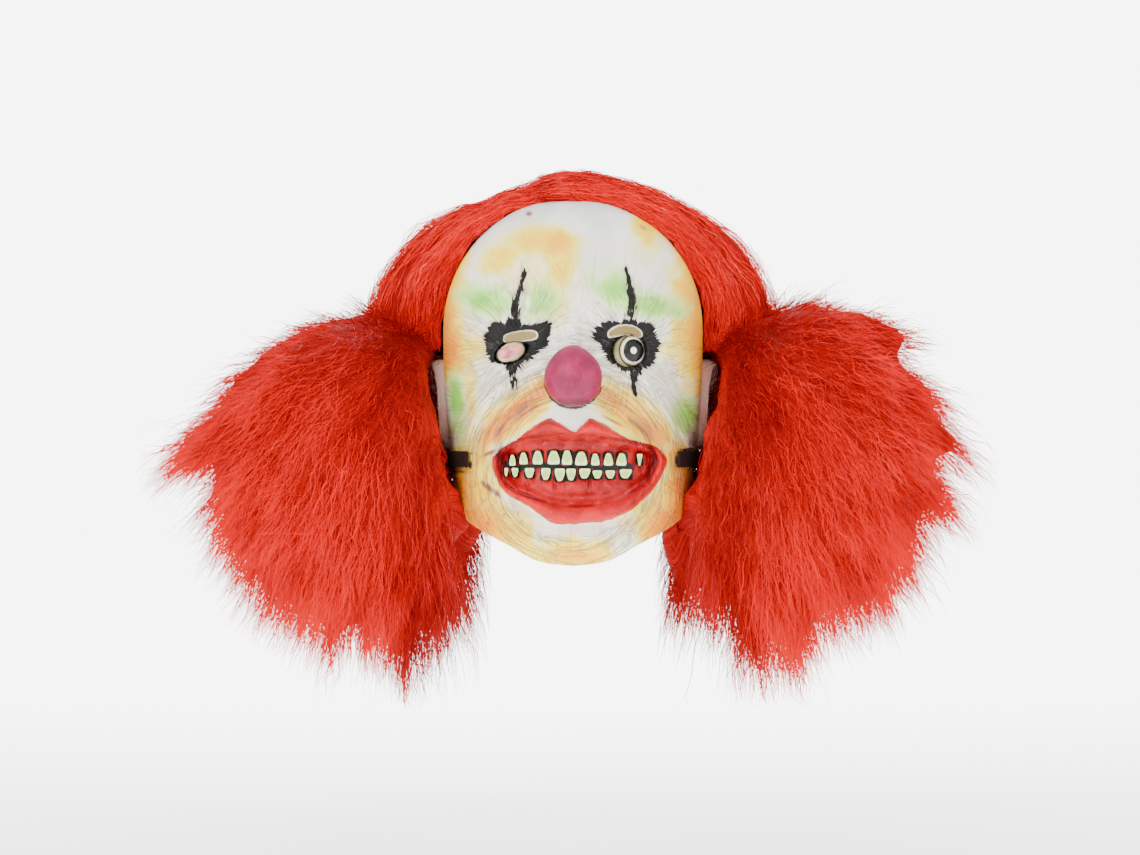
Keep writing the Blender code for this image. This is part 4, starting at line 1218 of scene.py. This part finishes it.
def eye_paint_ball():
    """Khaki ball with a ringed black iris and a white middle, painted shade towards its edge and a thin
    ring of painted lid shadow round the iris.
    """
    f = Finish("eyeball_enamel", Coat_Roughness=0.12, Specular_IOR_Level=0.3)
    iris = f.attribute("iris")
    cloud = f.noise(150, detail=4)
    color = f.mix(f.smooth(cloud, 0.3, 0.7), tint("DCD0A0"), tint("B8A874"))
    # Painted shade: the ball darkens towards its edge
    color = f.mix(f.smooth(f.attribute("rim"), 0.72, 0.98), color, tint("5A4A30"))
    ragged = iris + (f.noise(500, detail=3) - 0.5) * 0.0008
    # Painted shadow of the lid: a thin dark ring round the iris
    ring = f.smooth(ragged, 15.4 * PIXEL, 14.8 * PIXEL) * f.smooth(ragged, 13.0 * PIXEL, 13.6 * PIXEL)
    color = f.mix(ring * 0.85, color, tint("15110E"))
    color = f.mix(f.smooth(ragged, 12.6 * PIXEL, 12.0 * PIXEL), color, tint("F4F0DA"))
    color = f.mix(f.smooth(ragged, 10.6 * PIXEL, 10.0 * PIXEL), color, tint("080707"))
    color = f.mix(f.smooth(ragged, 3.4 * PIXEL, 2.8 * PIXEL), color, tint("F4F2EA"))
    f.feed("Base Color", color)
    f.feed("Roughness", 0.20 + 0.15 * cloud)
    f.feed("Coat Weight", 0.05 + 0.1 * cloud)
    f.feed("Normal", f.bump(cloud, 0.0002))
    return f


def lid_paint():
    """Khaki swollen lid with a pink split, blackened at its edge."""
    f = Finish("lid_enamel", Specular_IOR_Level=0.5)
    cloud = f.noise(180, detail=4)
    color = f.mix(f.smooth(cloud, 0.35, 0.65), tint("DCD0A8"), tint("BCA878"))
    split = f.attribute("split") + (cloud - 0.5) * 0.5
    streak = f.mix(f.smooth(f.noise(90, detail=5), 0.4, 0.6), tint("E09088"), tint("B04A4C"))
    color = f.mix(f.smooth(split, 1.05, 0.85), color, streak)
    color = f.mix(f.smooth(f.attribute("rim") + (cloud - 0.5) * 0.3, 0.78, 0.95), color, tint("0E0A0B"))
    f.feed("Base Color", color)
    f.feed("Roughness", 0.30 + 0.2 * cloud)
    f.feed("Normal", f.bump(f.noise(320, detail=4), 0.0005))
    return f


def tooth_glaze():
    """Pale green tooth with a cream rim and a brownish root."""
    f = Finish("tooth_glaze", Specular_IOR_Level=0.5)
    edge = f.attribute("edge")
    cloud = f.noise(420, detail=3)
    color = f.mix(f.smooth(edge + (cloud - 0.5) * 0.5, 0.45, 0.95), tint("A8D060"), tint("E8F0AE"))
    color = f.mix(f.smooth(f.attribute("root") + (cloud - 0.5) * 0.3, 0.36, 0.52), color, tint("8C7A44"))
    f.feed("Base Color", color)
    f.feed("Roughness", 0.25 + 0.2 * cloud)
    f.feed("Normal", f.bump(cloud, 0.0003))
    return f


def ear_latex():
    """Pale pink latex, with painted brown shade in the hollows."""
    f = Finish("ear_latex", Specular_IOR_Level=0.4, Subsurface_Weight=0.08)
    cloud = f.noise(60, detail=5)
    fine = f.noise(420, detail=4)
    color = f.mix(f.smooth(cloud, 0.3, 0.7), tint("FFE0D4"), tint("FAC4B2"))
    # Painted shade in the hollows of the ear
    hollow = f.smooth(f.attribute("hollow") + (cloud - 0.5), 0.35, 0.95)
    color = f.mix(hollow * 0.4, color, tint("C48468"))
    f.feed("Base Color", color)
    f.feed("Roughness", 0.5 + 0.15 * fine)
    f.feed("Normal", f.bump(fine + f.noise(140, detail=4), 0.0006))
    return f


def wave_of(value, length):
    return value.math("SINE", value * (2 * math.pi / length))


def webbing():
    """Dark brown woven elastic: ribs along the band and small cross threads."""
    f = Finish("strap_webbing", Specular_IOR_Level=0.2)
    along, beside = f.attribute("along"), f.attribute("beside")
    cross = wave_of(along, 0.0011)
    rib = wave_of(beside, 0.0013)
    weave = f.smooth(cross * rib, -0.8, 0.8)
    fuzz = f.noise(1400, detail=3)
    color = f.mix(weave, tint("120806"), tint("2E1813"))
    color = f.mix(f.smooth(fuzz, 0.60, 0.80) * 0.5, color, tint("4A2E26"))
    f.feed("Base Color", color)
    f.feed("Roughness", 0.75 + 0.2 * fuzz)
    f.feed("Normal", f.bump(weave + fuzz * 0.4, 0.0003))
    return f


def fibre(name, root, body, tip, light):
    """Red fibre: tone of the strand across its map, root to tip along it. Darker roots and dark low tones
    are painted shade, and the palest tones carry painted glints.
    """
    f = Finish(name, Specular_IOR_Level=0.14)
    uv = f.node("ShaderNodeUVMap", {"uv_map": "OFBake"})
    tone = f.node("ShaderNodeSeparateXYZ", inputs={0: uv}, output="X")
    along = f.node("ShaderNodeSeparateXYZ", inputs={0: uv}, output="Y")
    # Painted shade: darker towards the root, deep in the pile
    color = f.mix(f.smooth(along, 0.0, 0.35), tint(root), tint(body))
    color = f.mix(f.smooth(along, 0.62, 1.0) * 0.85, color, tint(tip))
    color = f.mix(f.smooth(tone, 0.55, 1.0) * 0.75, color, tint(light))
    # Painted shade: strands of low tone go dark
    color = f.mix(f.smooth(tone, 0.40, 0.0) * 0.80, color, tint(root))
    # Painted glints on the palest strands
    color = f.mix(f.smooth(tone, 0.95, 0.99) * 0.35, color, tint("FF9C8C"))
    f.feed("Base Color", color)
    f.feed("Roughness", 0.42 + 0.25 * tone)
    return f


def matted_fibre(name, dark, body, light):
    """Close-packed red fibre under the loose strands, streaked the way it is combed, painted sheen on the
    palest streaks and painted shade between locks.
    """
    f = Finish(name, Specular_IOR_Level=0.12)
    run, side = f.attribute("run"), f.attribute("side")
    place = f.node("ShaderNodeCombineXYZ", inputs={"X": run * 26, "Y": side * 900, "Z": side * 300})
    streak = f.noise(1.0, detail=4.0, distortion=0.6, vector=place, roughness=0.6)
    lock = f.noise(28, detail=3)
    color = f.mix(f.smooth(streak, 0.32, 0.66), tint(dark), tint(body))
    # Painted sheen on the palest streaks
    color = f.mix(f.smooth(streak, 0.58, 0.80) * 0.7, color, tint(light))
    # Painted shade in patches between locks
    color = f.mix(f.smooth(lock, 0.58, 0.30) * 0.55, color, tint(dark))
    f.feed("Base Color", color)
    f.feed("Roughness", 0.55 + 0.25 * streak)
    f.feed("Normal", f.bump(streak, 0.0025))
    return f


# Hair

ROOT_OUT = 0.024
ROOT_BACK = 0.004
ROOT_DROP = 0.006
BUNCH_SAG = 0.30
BUNCH_HELD_DROP = 0.080
BUNCH_PARTS = 2
PART_STRANDS = 10500
FUR_STEPS = 7
STRAND_WIDTH = 0.00046
STRAND_LENGTHS = (0.018, 0.042)
STRAND_STRAY = 0.35
TUFT_SIZE = 20
TUFT_PULL = 0.28
Frizz = namedtuple("Frizz", "size reach")
BROAD_FRIZZ = Frizz(0.022, 0.0040)
FINE_FRIZZ = Frizz(0.0075, 0.0021)
END_SCATTER = 0.0030
BUNCH_JITTER = 0.00120
CORE_GRAIN = 0.0055
CORE_BUMPS = 0.0030
CORE_BUMP_SIZE = 0.024
CORE_SMOOTHING = 16
CORE_INSET = 0.0020
CORE_SHRINK = 0.930
MOST_BEYOND = 0.012
RIM_Z = WALL - CROWN_RISE - CHIN_DROP
FACE_CLEARANCE = 0.0010
EAR_SPAN = (-0.172, -0.112)
EAR_CLEAR_X = 0.104
EAR_CLEAR_Y = 0.0
NECK_CLEAR_X = 0.059

PILE_TOP = 0.0095
PILE_SIDE = 0.050
PILE_RISES = (18.0, 83.0)
CAP_CLEARANCE = 0.0015
PARTING_X = -0.019
PARTING_STEP = 0.0055
HAIRLINE_ANGLE = 17.0
NAPE_ANGLE = 127.0
NAPE_SPREAD = 8.0
GATHER_ANGLE = 79.0
GATHER_TILT = 0.12
CROWN_STRANDS = 9000
CROWN_STEPS = 10
COMBED_FRIZZ = (Frizz(0.020, 0.0022), Frizz(0.007, 0.0022))
CROWN_JITTER = 0.00100
FAR_OUT = 0.45
HALVINGS = 24
CAP_REACH = 1.08
CAP_BACKING = 0.004
CAP_GRID = (44, 76)
CAP_LOCKS = 9
EDGE_STRANDS = 0.42
PARTED_STRANDS = 0.45


def frizz(points, size, reach, seed):
    """A wandering shift for each place, the same on each run."""
    shifts = [noise(points / size + 17.3 * (seed + k)) for k in range(3)]
    return np.stack(shifts, axis=-1) * reach


def add_strands(name, paths, widths, tones, finish, slot, start=None):
    """One mesh of flat fibres: a path, a width at each step and a tone for each strand."""
    count, steps, _ = paths.shape
    rng = np.random.default_rng(count)
    along = np.gradient(paths, axis=1)
    along /= np.linalg.norm(along, axis=2, keepdims=True) + 1e-9
    flat = rng.normal(size=(count, 1, 3)) + 0.5 * rng.normal(size=(count, 1, 3)) * np.linspace(
        -1, 1, steps)[None, :, None]
    side = np.cross(along, flat)
    side /= np.linalg.norm(side, axis=2, keepdims=True) + 1e-9
    half = side * widths[:, :, None] / 2
    points = np.stack((paths - half, paths + half), axis=2).reshape(-1, 3)
    at = (np.arange(count)[:, None] * steps + np.arange(steps - 1)[None, :]).ravel() * 2
    quads = np.stack((at, at + 1, at + 3, at + 2), axis=1)

    mesh = bpy.data.meshes.new(name)
    mesh.vertices.add(len(points))
    mesh.vertices.foreach_set("co", points.ravel())
    mesh.loops.add(quads.size)
    mesh.loops.foreach_set("vertex_index", quads.ravel().astype(np.int32))
    mesh.polygons.add(len(quads))
    mesh.polygons.foreach_set("loop_start", np.arange(0, quads.size, 4, dtype=np.int32))
    mesh.update(calc_edges=True)

    places = np.linspace(0, 1, steps)[None, :] * np.ones((count, 1))
    if start is not None:
        places = start + (1 - start) * places
    edge = 0.5 / 256
    u = np.repeat(np.clip(tones, edge, 1 - edge)[:, None], steps, axis=1)
    corner_u = np.stack((u, u + edge / 4), axis=2).ravel()
    corner_v = np.repeat(places[:, :, None], 2, axis=2).ravel()
    layer = mesh.uv_layers.new(name="OFBake")
    corners = quads.ravel()
    layer.data.foreach_set("uv", np.stack((corner_u[corners], corner_v[corners]), axis=1).ravel())

    piece = bpy.data.objects.new(name, mesh)
    bpy.context.scene.collection.objects.link(piece)
    finish_piece(piece, finish, slot)
    return piece


def unit(vectors):
    return vectors / (np.linalg.norm(vectors, axis=-1, keepdims=True) + 1e-12)


def scatter(piece, count, rng):
    """Even random places on a piece's faces, with their normals."""
    mesh = piece.data
    mesh.calc_loop_triangles()
    corners = np.empty(len(mesh.loop_triangles) * 3, dtype=np.int32)
    mesh.loop_triangles.foreach_get("vertices", corners)
    corners = corners.reshape(-1, 3)
    points, normals = read_points(piece), read_normals(piece)
    a, b, c = (points[corners[:, k]] for k in range(3))
    area = np.linalg.norm(np.cross(b - a, c - a), axis=1)
    chosen = rng.choice(len(corners), count, p=area / area.sum())
    r, t = np.sqrt(rng.random(count)), rng.random(count)
    weights = np.stack((1 - r, r * (1 - t), r * t), axis=1)
    places = np.einsum("nk,nkd->nd", weights, points[corners[chosen]])
    facing = unit(np.einsum("nk,nkd->nd", weights, normals[corners[chosen]]))
    return places, facing


def gather_place(side):
    return np.array((side * (HALF_WIDTH + ROOT_OUT), ROOT_BACK, TEMPLE_Z - ROOT_DROP))


def combed(points, side):
    """Direction in which the fibre of a bunch runs: out of the gather and a little down."""
    away = points - gather_place(side)
    return unit(unit(away) + np.array((0, 0, -BUNCH_SAG)) * smoothstep(0.02, 0.16, np.linalg.norm(
        away, axis=1))[:, None])


def fur_paths(places, facing, flow, lengths, lifts, stray):
    """Paths that leave a surface along the combed direction and bend back over it."""
    lean = unit(flow - facing * np.sum(flow * facing, axis=1, keepdims=True) * 0.8 + stray)
    heading = unit(lean + facing * lifts[:, None])
    outward = np.clip(np.sum(flow * facing, axis=1), 0, 1)
    start = places - facing * 0.003 - heading * (lengths * (0.12 + 0.25 * outward))[:, None]
    share = np.linspace(0, 1, FUR_STEPS)[None, :, None]
    reach = lengths[:, None, None] * share
    bend = (flow - heading)[:, None, :] * 0.5 * share
    return start[:, None, :] + unit(heading[:, None, :] + bend) * reach


def gather_tufts(paths, places, tufts, pull, rng):
    """Draw the ends of neighbouring fibres together into tufts."""
    guides = rng.choice(len(places), tufts, replace=False)
    nearest = np.empty(len(places), dtype=int)
    for low in range(0, len(places), 500):
        gaps = np.linalg.norm(places[low:low + 500, None, :] - places[guides][None, :, :], axis=2)
        nearest[low:low + 500] = gaps.argmin(axis=1)
    guide = paths[guides[nearest]]
    share = np.linspace(0, 1, paths.shape[1])[None, :, None]
    return paths + (guide - paths) * pull[:, None, None] * share ** 1.4, nearest


def clear_of_face(paths, side):
    """Which strands keep off the face and the ear, seen from the front."""
    x, y, z = side * paths[:, 2:, 0], paths[:, 2:, 1], paths[:, 2:, 2]
    face = (z > RIM_Z) & (x < section(z)[0] + FACE_CLEARANCE) & (y < EAR_CLEAR_Y)
    ear = (z > EAR_SPAN[0]) & (z < EAR_SPAN[1]) & (x < EAR_CLEAR_X) & (y < EAR_CLEAR_Y)
    neck = x < NECK_CLEAR_X
    return ~np.any(face | ear | neck, axis=1)


def keep_near(paths, low, high):
    """Bend back what reaches far out of a box."""
    for low_by, sign in ((np.array(low), -1), (np.array(high), 1)):
        over = np.maximum((paths - low_by) * sign, 0)
        paths = paths - sign * (over - MOST_BEYOND * (1 - np.exp(-over / MOST_BEYOND)))
    return paths


def fluff_tones(places, distance, side, tuft, rng):
    """Tone of each fibre: lowered near the gather and beside the face as painted shade, a little apart by
    tuft.
    """
    tuft_tone = rng.normal(size=len(places))[tuft]
    # Painted shade near the gather and beside the face
    shaded = (0.34 * smoothstep(0.15, 0.03, distance)
              + 0.50 * smoothstep(0.075, 0.0, side * places[:, 0] - HALF_WIDTH))
    return np.clip(0.56 + 0.14 * rng.normal(size=len(places)) + 0.03 * tuft_tone
                   + 0.12 * noise(places / 0.030) - shaded, 0, 1)


def build_bunch(name, side):
    """Loose crimped fibre on a matted core, in parts that stay under the size limit."""
    node = "bunch_" + name
    core = build_bunch_core(node, side)
    rng = np.random.default_rng(40 + side)
    count = PART_STRANDS
    for part in range(BUNCH_PARTS):
        places, facing = scatter(core, count, rng)
        flow = combed(places, side)
        distance = np.linalg.norm(places - gather_place(side), axis=1)
        lengths = rng.uniform(*STRAND_LENGTHS, count) * (0.8 + 0.95 * smoothstep(0.03, 0.20, distance))
        lifts = 0.12 + 0.75 * rng.random(count) ** 2
        inner = np.clip(-side * facing[:, 0], 0, 1)
        behind = inner * smoothstep(0.002, 0.020, places[:, 1])
        lengths *= 1 + 0.2 * inner + 0.7 * behind
        lifts += 0.15 * inner + 0.9 * behind
        stray = rng.normal(size=(count, 3)) * STRAND_STRAY
        paths = fur_paths(places, facing, flow, lengths, lifts, stray)
        pull = rng.uniform(0.0, TUFT_PULL, count)
        paths, tuft = gather_tufts(paths, places, count // TUFT_SIZE, pull, rng)
        loose = np.linspace(0, 1, FUR_STEPS)[None, :, None]
        paths += frizz(paths, *BROAD_FRIZZ, part) * loose
        paths += frizz(paths, *FINE_FRIZZ, part + 5) * (0.3 + 0.7 * loose)
        paths += rng.normal(size=(count, 1, 3)) * END_SCATTER * loose
        paths += rng.normal(size=paths.shape) * BUNCH_JITTER
        paths = keep_near(paths, *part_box(node))
        kept = clear_of_face(paths, side)
        width = STRAND_WIDTH * (1.05 - 0.75 * smoothstep(0.6, 1.0, loose[:, :, 0]))
        width = width * rng.uniform(0.6, 1.4, (count, 1))
        tones = fluff_tones(places, distance, side, tuft, rng)
        # Painted shade: strands near the gather begin further into the dark root colour
        start = 0.15 + 0.45 * smoothstep(0.0, 0.22, distance)
        add_strands("%s_fluff_%d" % (node, part + 1), paths[kept], width[kept], tones[kept],
                    FIBRES["bunch"], "red_fibre", start[kept, None])


def build_bunch_core(node, side):
    """Matted inner form that the loose fibre stands on."""
    bpy.ops.mesh.primitive_cube_add(size=1)
    piece = new_piece(node + "_matted")
    piece.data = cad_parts[node].data.copy()
    edit_all(MERGE)
    modify(piece, "fuse", "REMESH", mode="VOXEL", voxel_size=CORE_GRAIN)
    modify(piece, "soft", "SMOOTH", factor=0.6, iterations=CORE_SMOOTHING)
    points = read_points(piece)
    held = np.array((side * HALF_WIDTH, ROOT_BACK, TEMPLE_Z - BUNCH_HELD_DROP))
    points = held + (points - held) * CORE_SHRINK
    write_points(piece, points)
    bumpy = noise(points / CORE_BUMP_SIZE) * CORE_BUMPS
    points = points - read_normals(piece) * (CORE_INSET - bumpy)[:, None]
    write_points(piece, points)
    away = points - gather_place(side)
    keep_number(piece, "run", np.linalg.norm(away, axis=1))
    keep_number(piece, "side", np.arctan2(away[:, 2], side * away[:, 0]) * 0.12 + points[:, 1] * 0.8)
    finish_piece(piece, FIBRES["bunch core"], "red_fibre", node)
    return piece


def hood_radius(direction):
    """Distance from the middle of the head to the plain hood in each direction."""
    low, high = np.zeros(direction.shape[:-1]), np.full(direction.shape[:-1], FAR_OUT)
    for _ in range(HALVINGS):
        half = (low + high) / 2
        x, y = direction[..., 0] * half, direction[..., 1] * half
        z = TEMPLE_Z + direction[..., 2] * half
        width, front, back = section(z)
        depth = np.where(y < 0, front, back)
        inside = (z < TEMPLE_Z + CROWN_RISE) & (
            np.abs(x / (width + 1e-9)) ** SECTION_POWER + np.abs(y / (depth + 1e-9)) ** SECTION_POWER < 1)
        low, high = np.where(inside, half, low), np.where(inside, high, half)
    return low


def cap_place(lean_share, u, depth):
    """Place in the hair cap: ear to ear, hairline to nape, and up through the pile."""
    lean = np.radians(GATHER_ANGLE) * lean_share
    nape = NAPE_ANGLE + NAPE_SPREAD * lean_share ** 2
    turn = np.radians(HAIRLINE_ANGLE - (HAIRLINE_ANGLE + nape) * u)
    direction = np.stack((np.sin(lean), -np.cos(lean) * np.sin(turn), np.cos(lean) * np.cos(turn)), axis=-1)
    sag = np.clip(np.abs(lean_share), 0, 1.1) ** 4 * (1 + np.cos(turn)) / 2
    direction[..., 2] -= GATHER_TILT * sag
    direction /= np.linalg.norm(direction, axis=-1, keepdims=True)
    full = smoothstep(*PILE_RISES, np.abs(np.degrees(lean)))
    parted = smoothstep(-0.012, 0.012, direction[..., 0] * (HALF_WIDTH + CROWN_RISE) / 2 - PARTING_X)
    top = PILE_TOP + PARTING_STEP * parted
    edge = np.minimum(1.0, 0.45 + 5.0 * np.minimum(u, 1 - u))
    pile = (top + (PILE_SIDE - top) * full) * np.maximum(edge, 0.3)
    radius = hood_radius(direction) + CAP_CLEARANCE + pile * depth
    return np.array((0, 0, TEMPLE_Z)) + direction * radius[..., None]


def cap_lock(lean, u):
    """Rise and fall of the hair cap's locks, which lie side by side from ear to ear."""
    return 0.07 * np.cos(2 * math.pi * CAP_LOCKS * u) * (0.5 + np.abs(lean))


def build_crown():
    """Fibre combed from the parting down to the two gathers, on a matted cap."""
    rng = np.random.default_rng(23)
    count = CROWN_STRANDS
    side = rng.choice((-1.0, 1.0), count)
    parting = PARTING_X / ((HALF_WIDTH + CROWN_RISE) / 2) / math.radians(GATHER_ANGLE)
    first = parting + side * (np.abs(rng.normal(0, 0.025, count)) - 0.03)
    at_parting = rng.random(count) < PARTED_STRANDS
    begin = np.where(at_parting, first, parting + (side * 0.95 - parting) * rng.random(count) ** 0.9)
    reach = np.minimum(rng.uniform(0.35, 0.75, count), np.abs(side * (CAP_REACH + 0.03) - begin))
    share = np.linspace(0, 1, CROWN_STEPS)[None, :]
    lean = begin[:, None] + side[:, None] * reach[:, None] * share
    u = rng.random(count) ** 1.15
    edge = rng.random(count) < EDGE_STRANDS
    u[edge] = rng.uniform(-0.012, 0.030, edge.sum())
    u = u[:, None] + 0.02 * noise(np.stack((lean * 4, u[:, None] * 9 + 0 * lean, 0 * lean + 3.1), axis=-1))
    depth = 0.78 + 0.24 * rng.random(count)
    depth[edge] = rng.random(edge.sum()) ** 1.5
    lock = cap_lock(lean, u)
    paths = cap_place(lean, np.clip(u, -0.02, 1.004), depth[:, None] + lock)
    paths += frizz(paths, *COMBED_FRIZZ[0], 2)
    paths += frizz(paths, *COMBED_FRIZZ[1], 9)
    paths += rng.normal(size=paths.shape) * CROWN_JITTER
    width = STRAND_WIDTH * rng.uniform(0.55, 1.25, (count, 1)) * (1.0 - 0.5 * share ** 4)
    patches = noise(paths[:, CROWN_STEPS // 2] / 0.012)
    tones = np.clip(0.45 + 0.2 * rng.normal(size=count) + 0.3 * patches, 0, 1)
    add_strands("crown_combed_hair", paths, width, tones, FIBRES["crown"], "red_fibre",
                0.15 * np.ones((count, 1)))
    build_crown_core()


def build_crown_core():
    """Matted cap under the combed strands."""
    columns, rows = CAP_GRID
    bpy.ops.mesh.primitive_grid_add(x_subdivisions=columns, y_subdivisions=rows, size=2)
    piece = new_piece("crown_matted")
    points = read_points(piece)
    lean, u = points[:, 0] * CAP_REACH, (points[:, 1] + 1) / 2
    lock = cap_lock(lean, u)
    places = cap_place(lean, u, (0.86 + lock) * smoothstep(-0.02, 0.035, np.minimum(u, 1 - u)))
    write_points(piece, places)
    keep_number(piece, "run", lean * 0.12)
    keep_number(piece, "side", u * 0.45)
    modify(piece, "backing", "SOLIDIFY", thickness=CAP_BACKING, offset=-1)
    edit_all(FACE_OUTWARDS)
    finish_piece(piece, FIBRES["crown core"], "red_fibre", "crown_hair")


# Camera, light and floor

SENSOR_WIDTH = 36.0
CAMERA_DISTANCE = 5.0
FACE_PLANE_Y = -0.04
FLOOR_Z = -0.45
WORLD_LIGHT = 1.75
BACKDROP_LIGHT = 7.0
PAPER_GLOW = (-2.4, 3.4)
BACKDROP_EDGE = (0.80, 0.97)
FLOOR_SIZE = 16
LAMP_AIM = (0.0, 0.0, -0.15)
Lamp = namedtuple("Lamp", "name x y z size power")
LAMPS = (
    Lamp("key", -1.3, -2.2, 1.2, 1.4, 72),
    Lamp("fill", 1.7, -2.0, 0.4, 1.6, 22),
    Lamp("back", 0.0, 2.2, 1.6, 1.6, 30),
)


def build_camera():
    data = bpy.data.cameras.new("camera")
    data.sensor_width = SENSOR_WIDTH
    data.lens = SENSOR_WIDTH * (CAMERA_DISTANCE + FACE_PLANE_Y) / (VIEW_COLUMNS * PIXEL)
    camera = bpy.data.objects.new("camera", data)
    bpy.context.scene.collection.objects.link(camera)
    camera.location = (across(VIEW_MIDDLE[0]), -CAMERA_DISTANCE, height(VIEW_MIDDLE[1]))
    camera.rotation_euler = (math.pi / 2, 0, 0)
    bpy.context.scene.camera = camera


def build_backdrop():
    """White studio light from all round, brighter straight behind the mask."""
    world = bpy.data.worlds.new("studio")
    bpy.context.scene.world = world
    world.use_nodes = True
    nodes, links = world.node_tree.nodes, world.node_tree.links
    backdrop = nodes["Background"]
    backdrop.inputs["Color"].default_value = (1.0, 1.0, 1.0, 1.0)
    facing = nodes.new("ShaderNodeTexCoord")
    parts = nodes.new("ShaderNodeSeparateXYZ")
    light = nodes.new("ShaderNodeMapRange")
    light.interpolation_type = "SMOOTHSTEP"
    for socket, value in zip(("From Min", "From Max", "To Min", "To Max"),
                             (*BACKDROP_EDGE, WORLD_LIGHT, BACKDROP_LIGHT)):
        light.inputs[socket].default_value = value
    links.new(facing.outputs["Generated"], parts.inputs[0])
    links.new(parts.outputs["Y"], light.inputs["Value"])
    links.new(light.outputs[0], backdrop.inputs["Strength"])


def build_lamps():
    for lamp in LAMPS:
        light = bpy.data.lights.new(lamp.name, "AREA")
        light.size = lamp.size
        light.energy = lamp.power
        source = bpy.data.objects.new(lamp.name, light)
        bpy.context.scene.collection.objects.link(source)
        source.location = (lamp.x, lamp.y, lamp.z)
        aim = np.array(LAMP_AIM) - np.array(source.location)
        flat = math.hypot(aim[0], aim[1])
        source.rotation_euler = (math.atan2(flat, -aim[2]), 0, math.atan2(-aim[0], aim[1]))


def build_floor():
    """Pale paper that glows into the backdrop as it runs back."""
    bpy.ops.mesh.primitive_plane_add(size=FLOOR_SIZE, location=(0, 0, FLOOR_Z))
    floor = new_piece("floor")
    paper = Finish("paper", Roughness=0.8, Emission_Strength=BACKDROP_LIGHT - WORLD_LIGHT)
    away = paper.node("ShaderNodeSeparateXYZ", inputs={0: paper.places}, output="Y")
    paper.feed("Emission Color", paper.mix(paper.smooth(away, *PAPER_GLOW), (0, 0, 0, 1), (1, 1, 1, 1)))
    paper.feed("Base Color", paper.mix(paper.noise(3), (0.96, 0.96, 0.96, 1), (0.94, 0.94, 0.94, 1)))
    floor.data.materials.append(paper.material)
    floor.select_set(False)


build_camera()
build_backdrop()
build_lamps()
build_floor()
build_hood_outside()
build_hood_inside()
build_nose()
build_right_eye()
build_left_eye()
glaze = tooth_glaze()
for tooth in TEETH:
    build_tooth(tooth, glaze)
EAR_FINISH = ear_latex()
for ear_name, ear_side in (("left", -1), ("right", 1)):
    build_ear(ear_name, ear_side)
build_strap()
FIBRES = {
    "bunch": fibre("loose_fibre", "800000", "CE0200", "DA0602", "F0140A"),
    "crown": fibre("combed_fibre", "8C0000", "DE0301", "F01208", "FF2E1C"),
    "bunch core": matted_fibre("matted_fibre", "800000", "BC0200", "CE0602"),
    "crown core": matted_fibre("matted_cap", "780000", "B80200", "D40804"),
}
for bunch_name, bunch_side in (("left", -1), ("right", 1)):
    build_bunch(bunch_name, bunch_side)
build_crown()
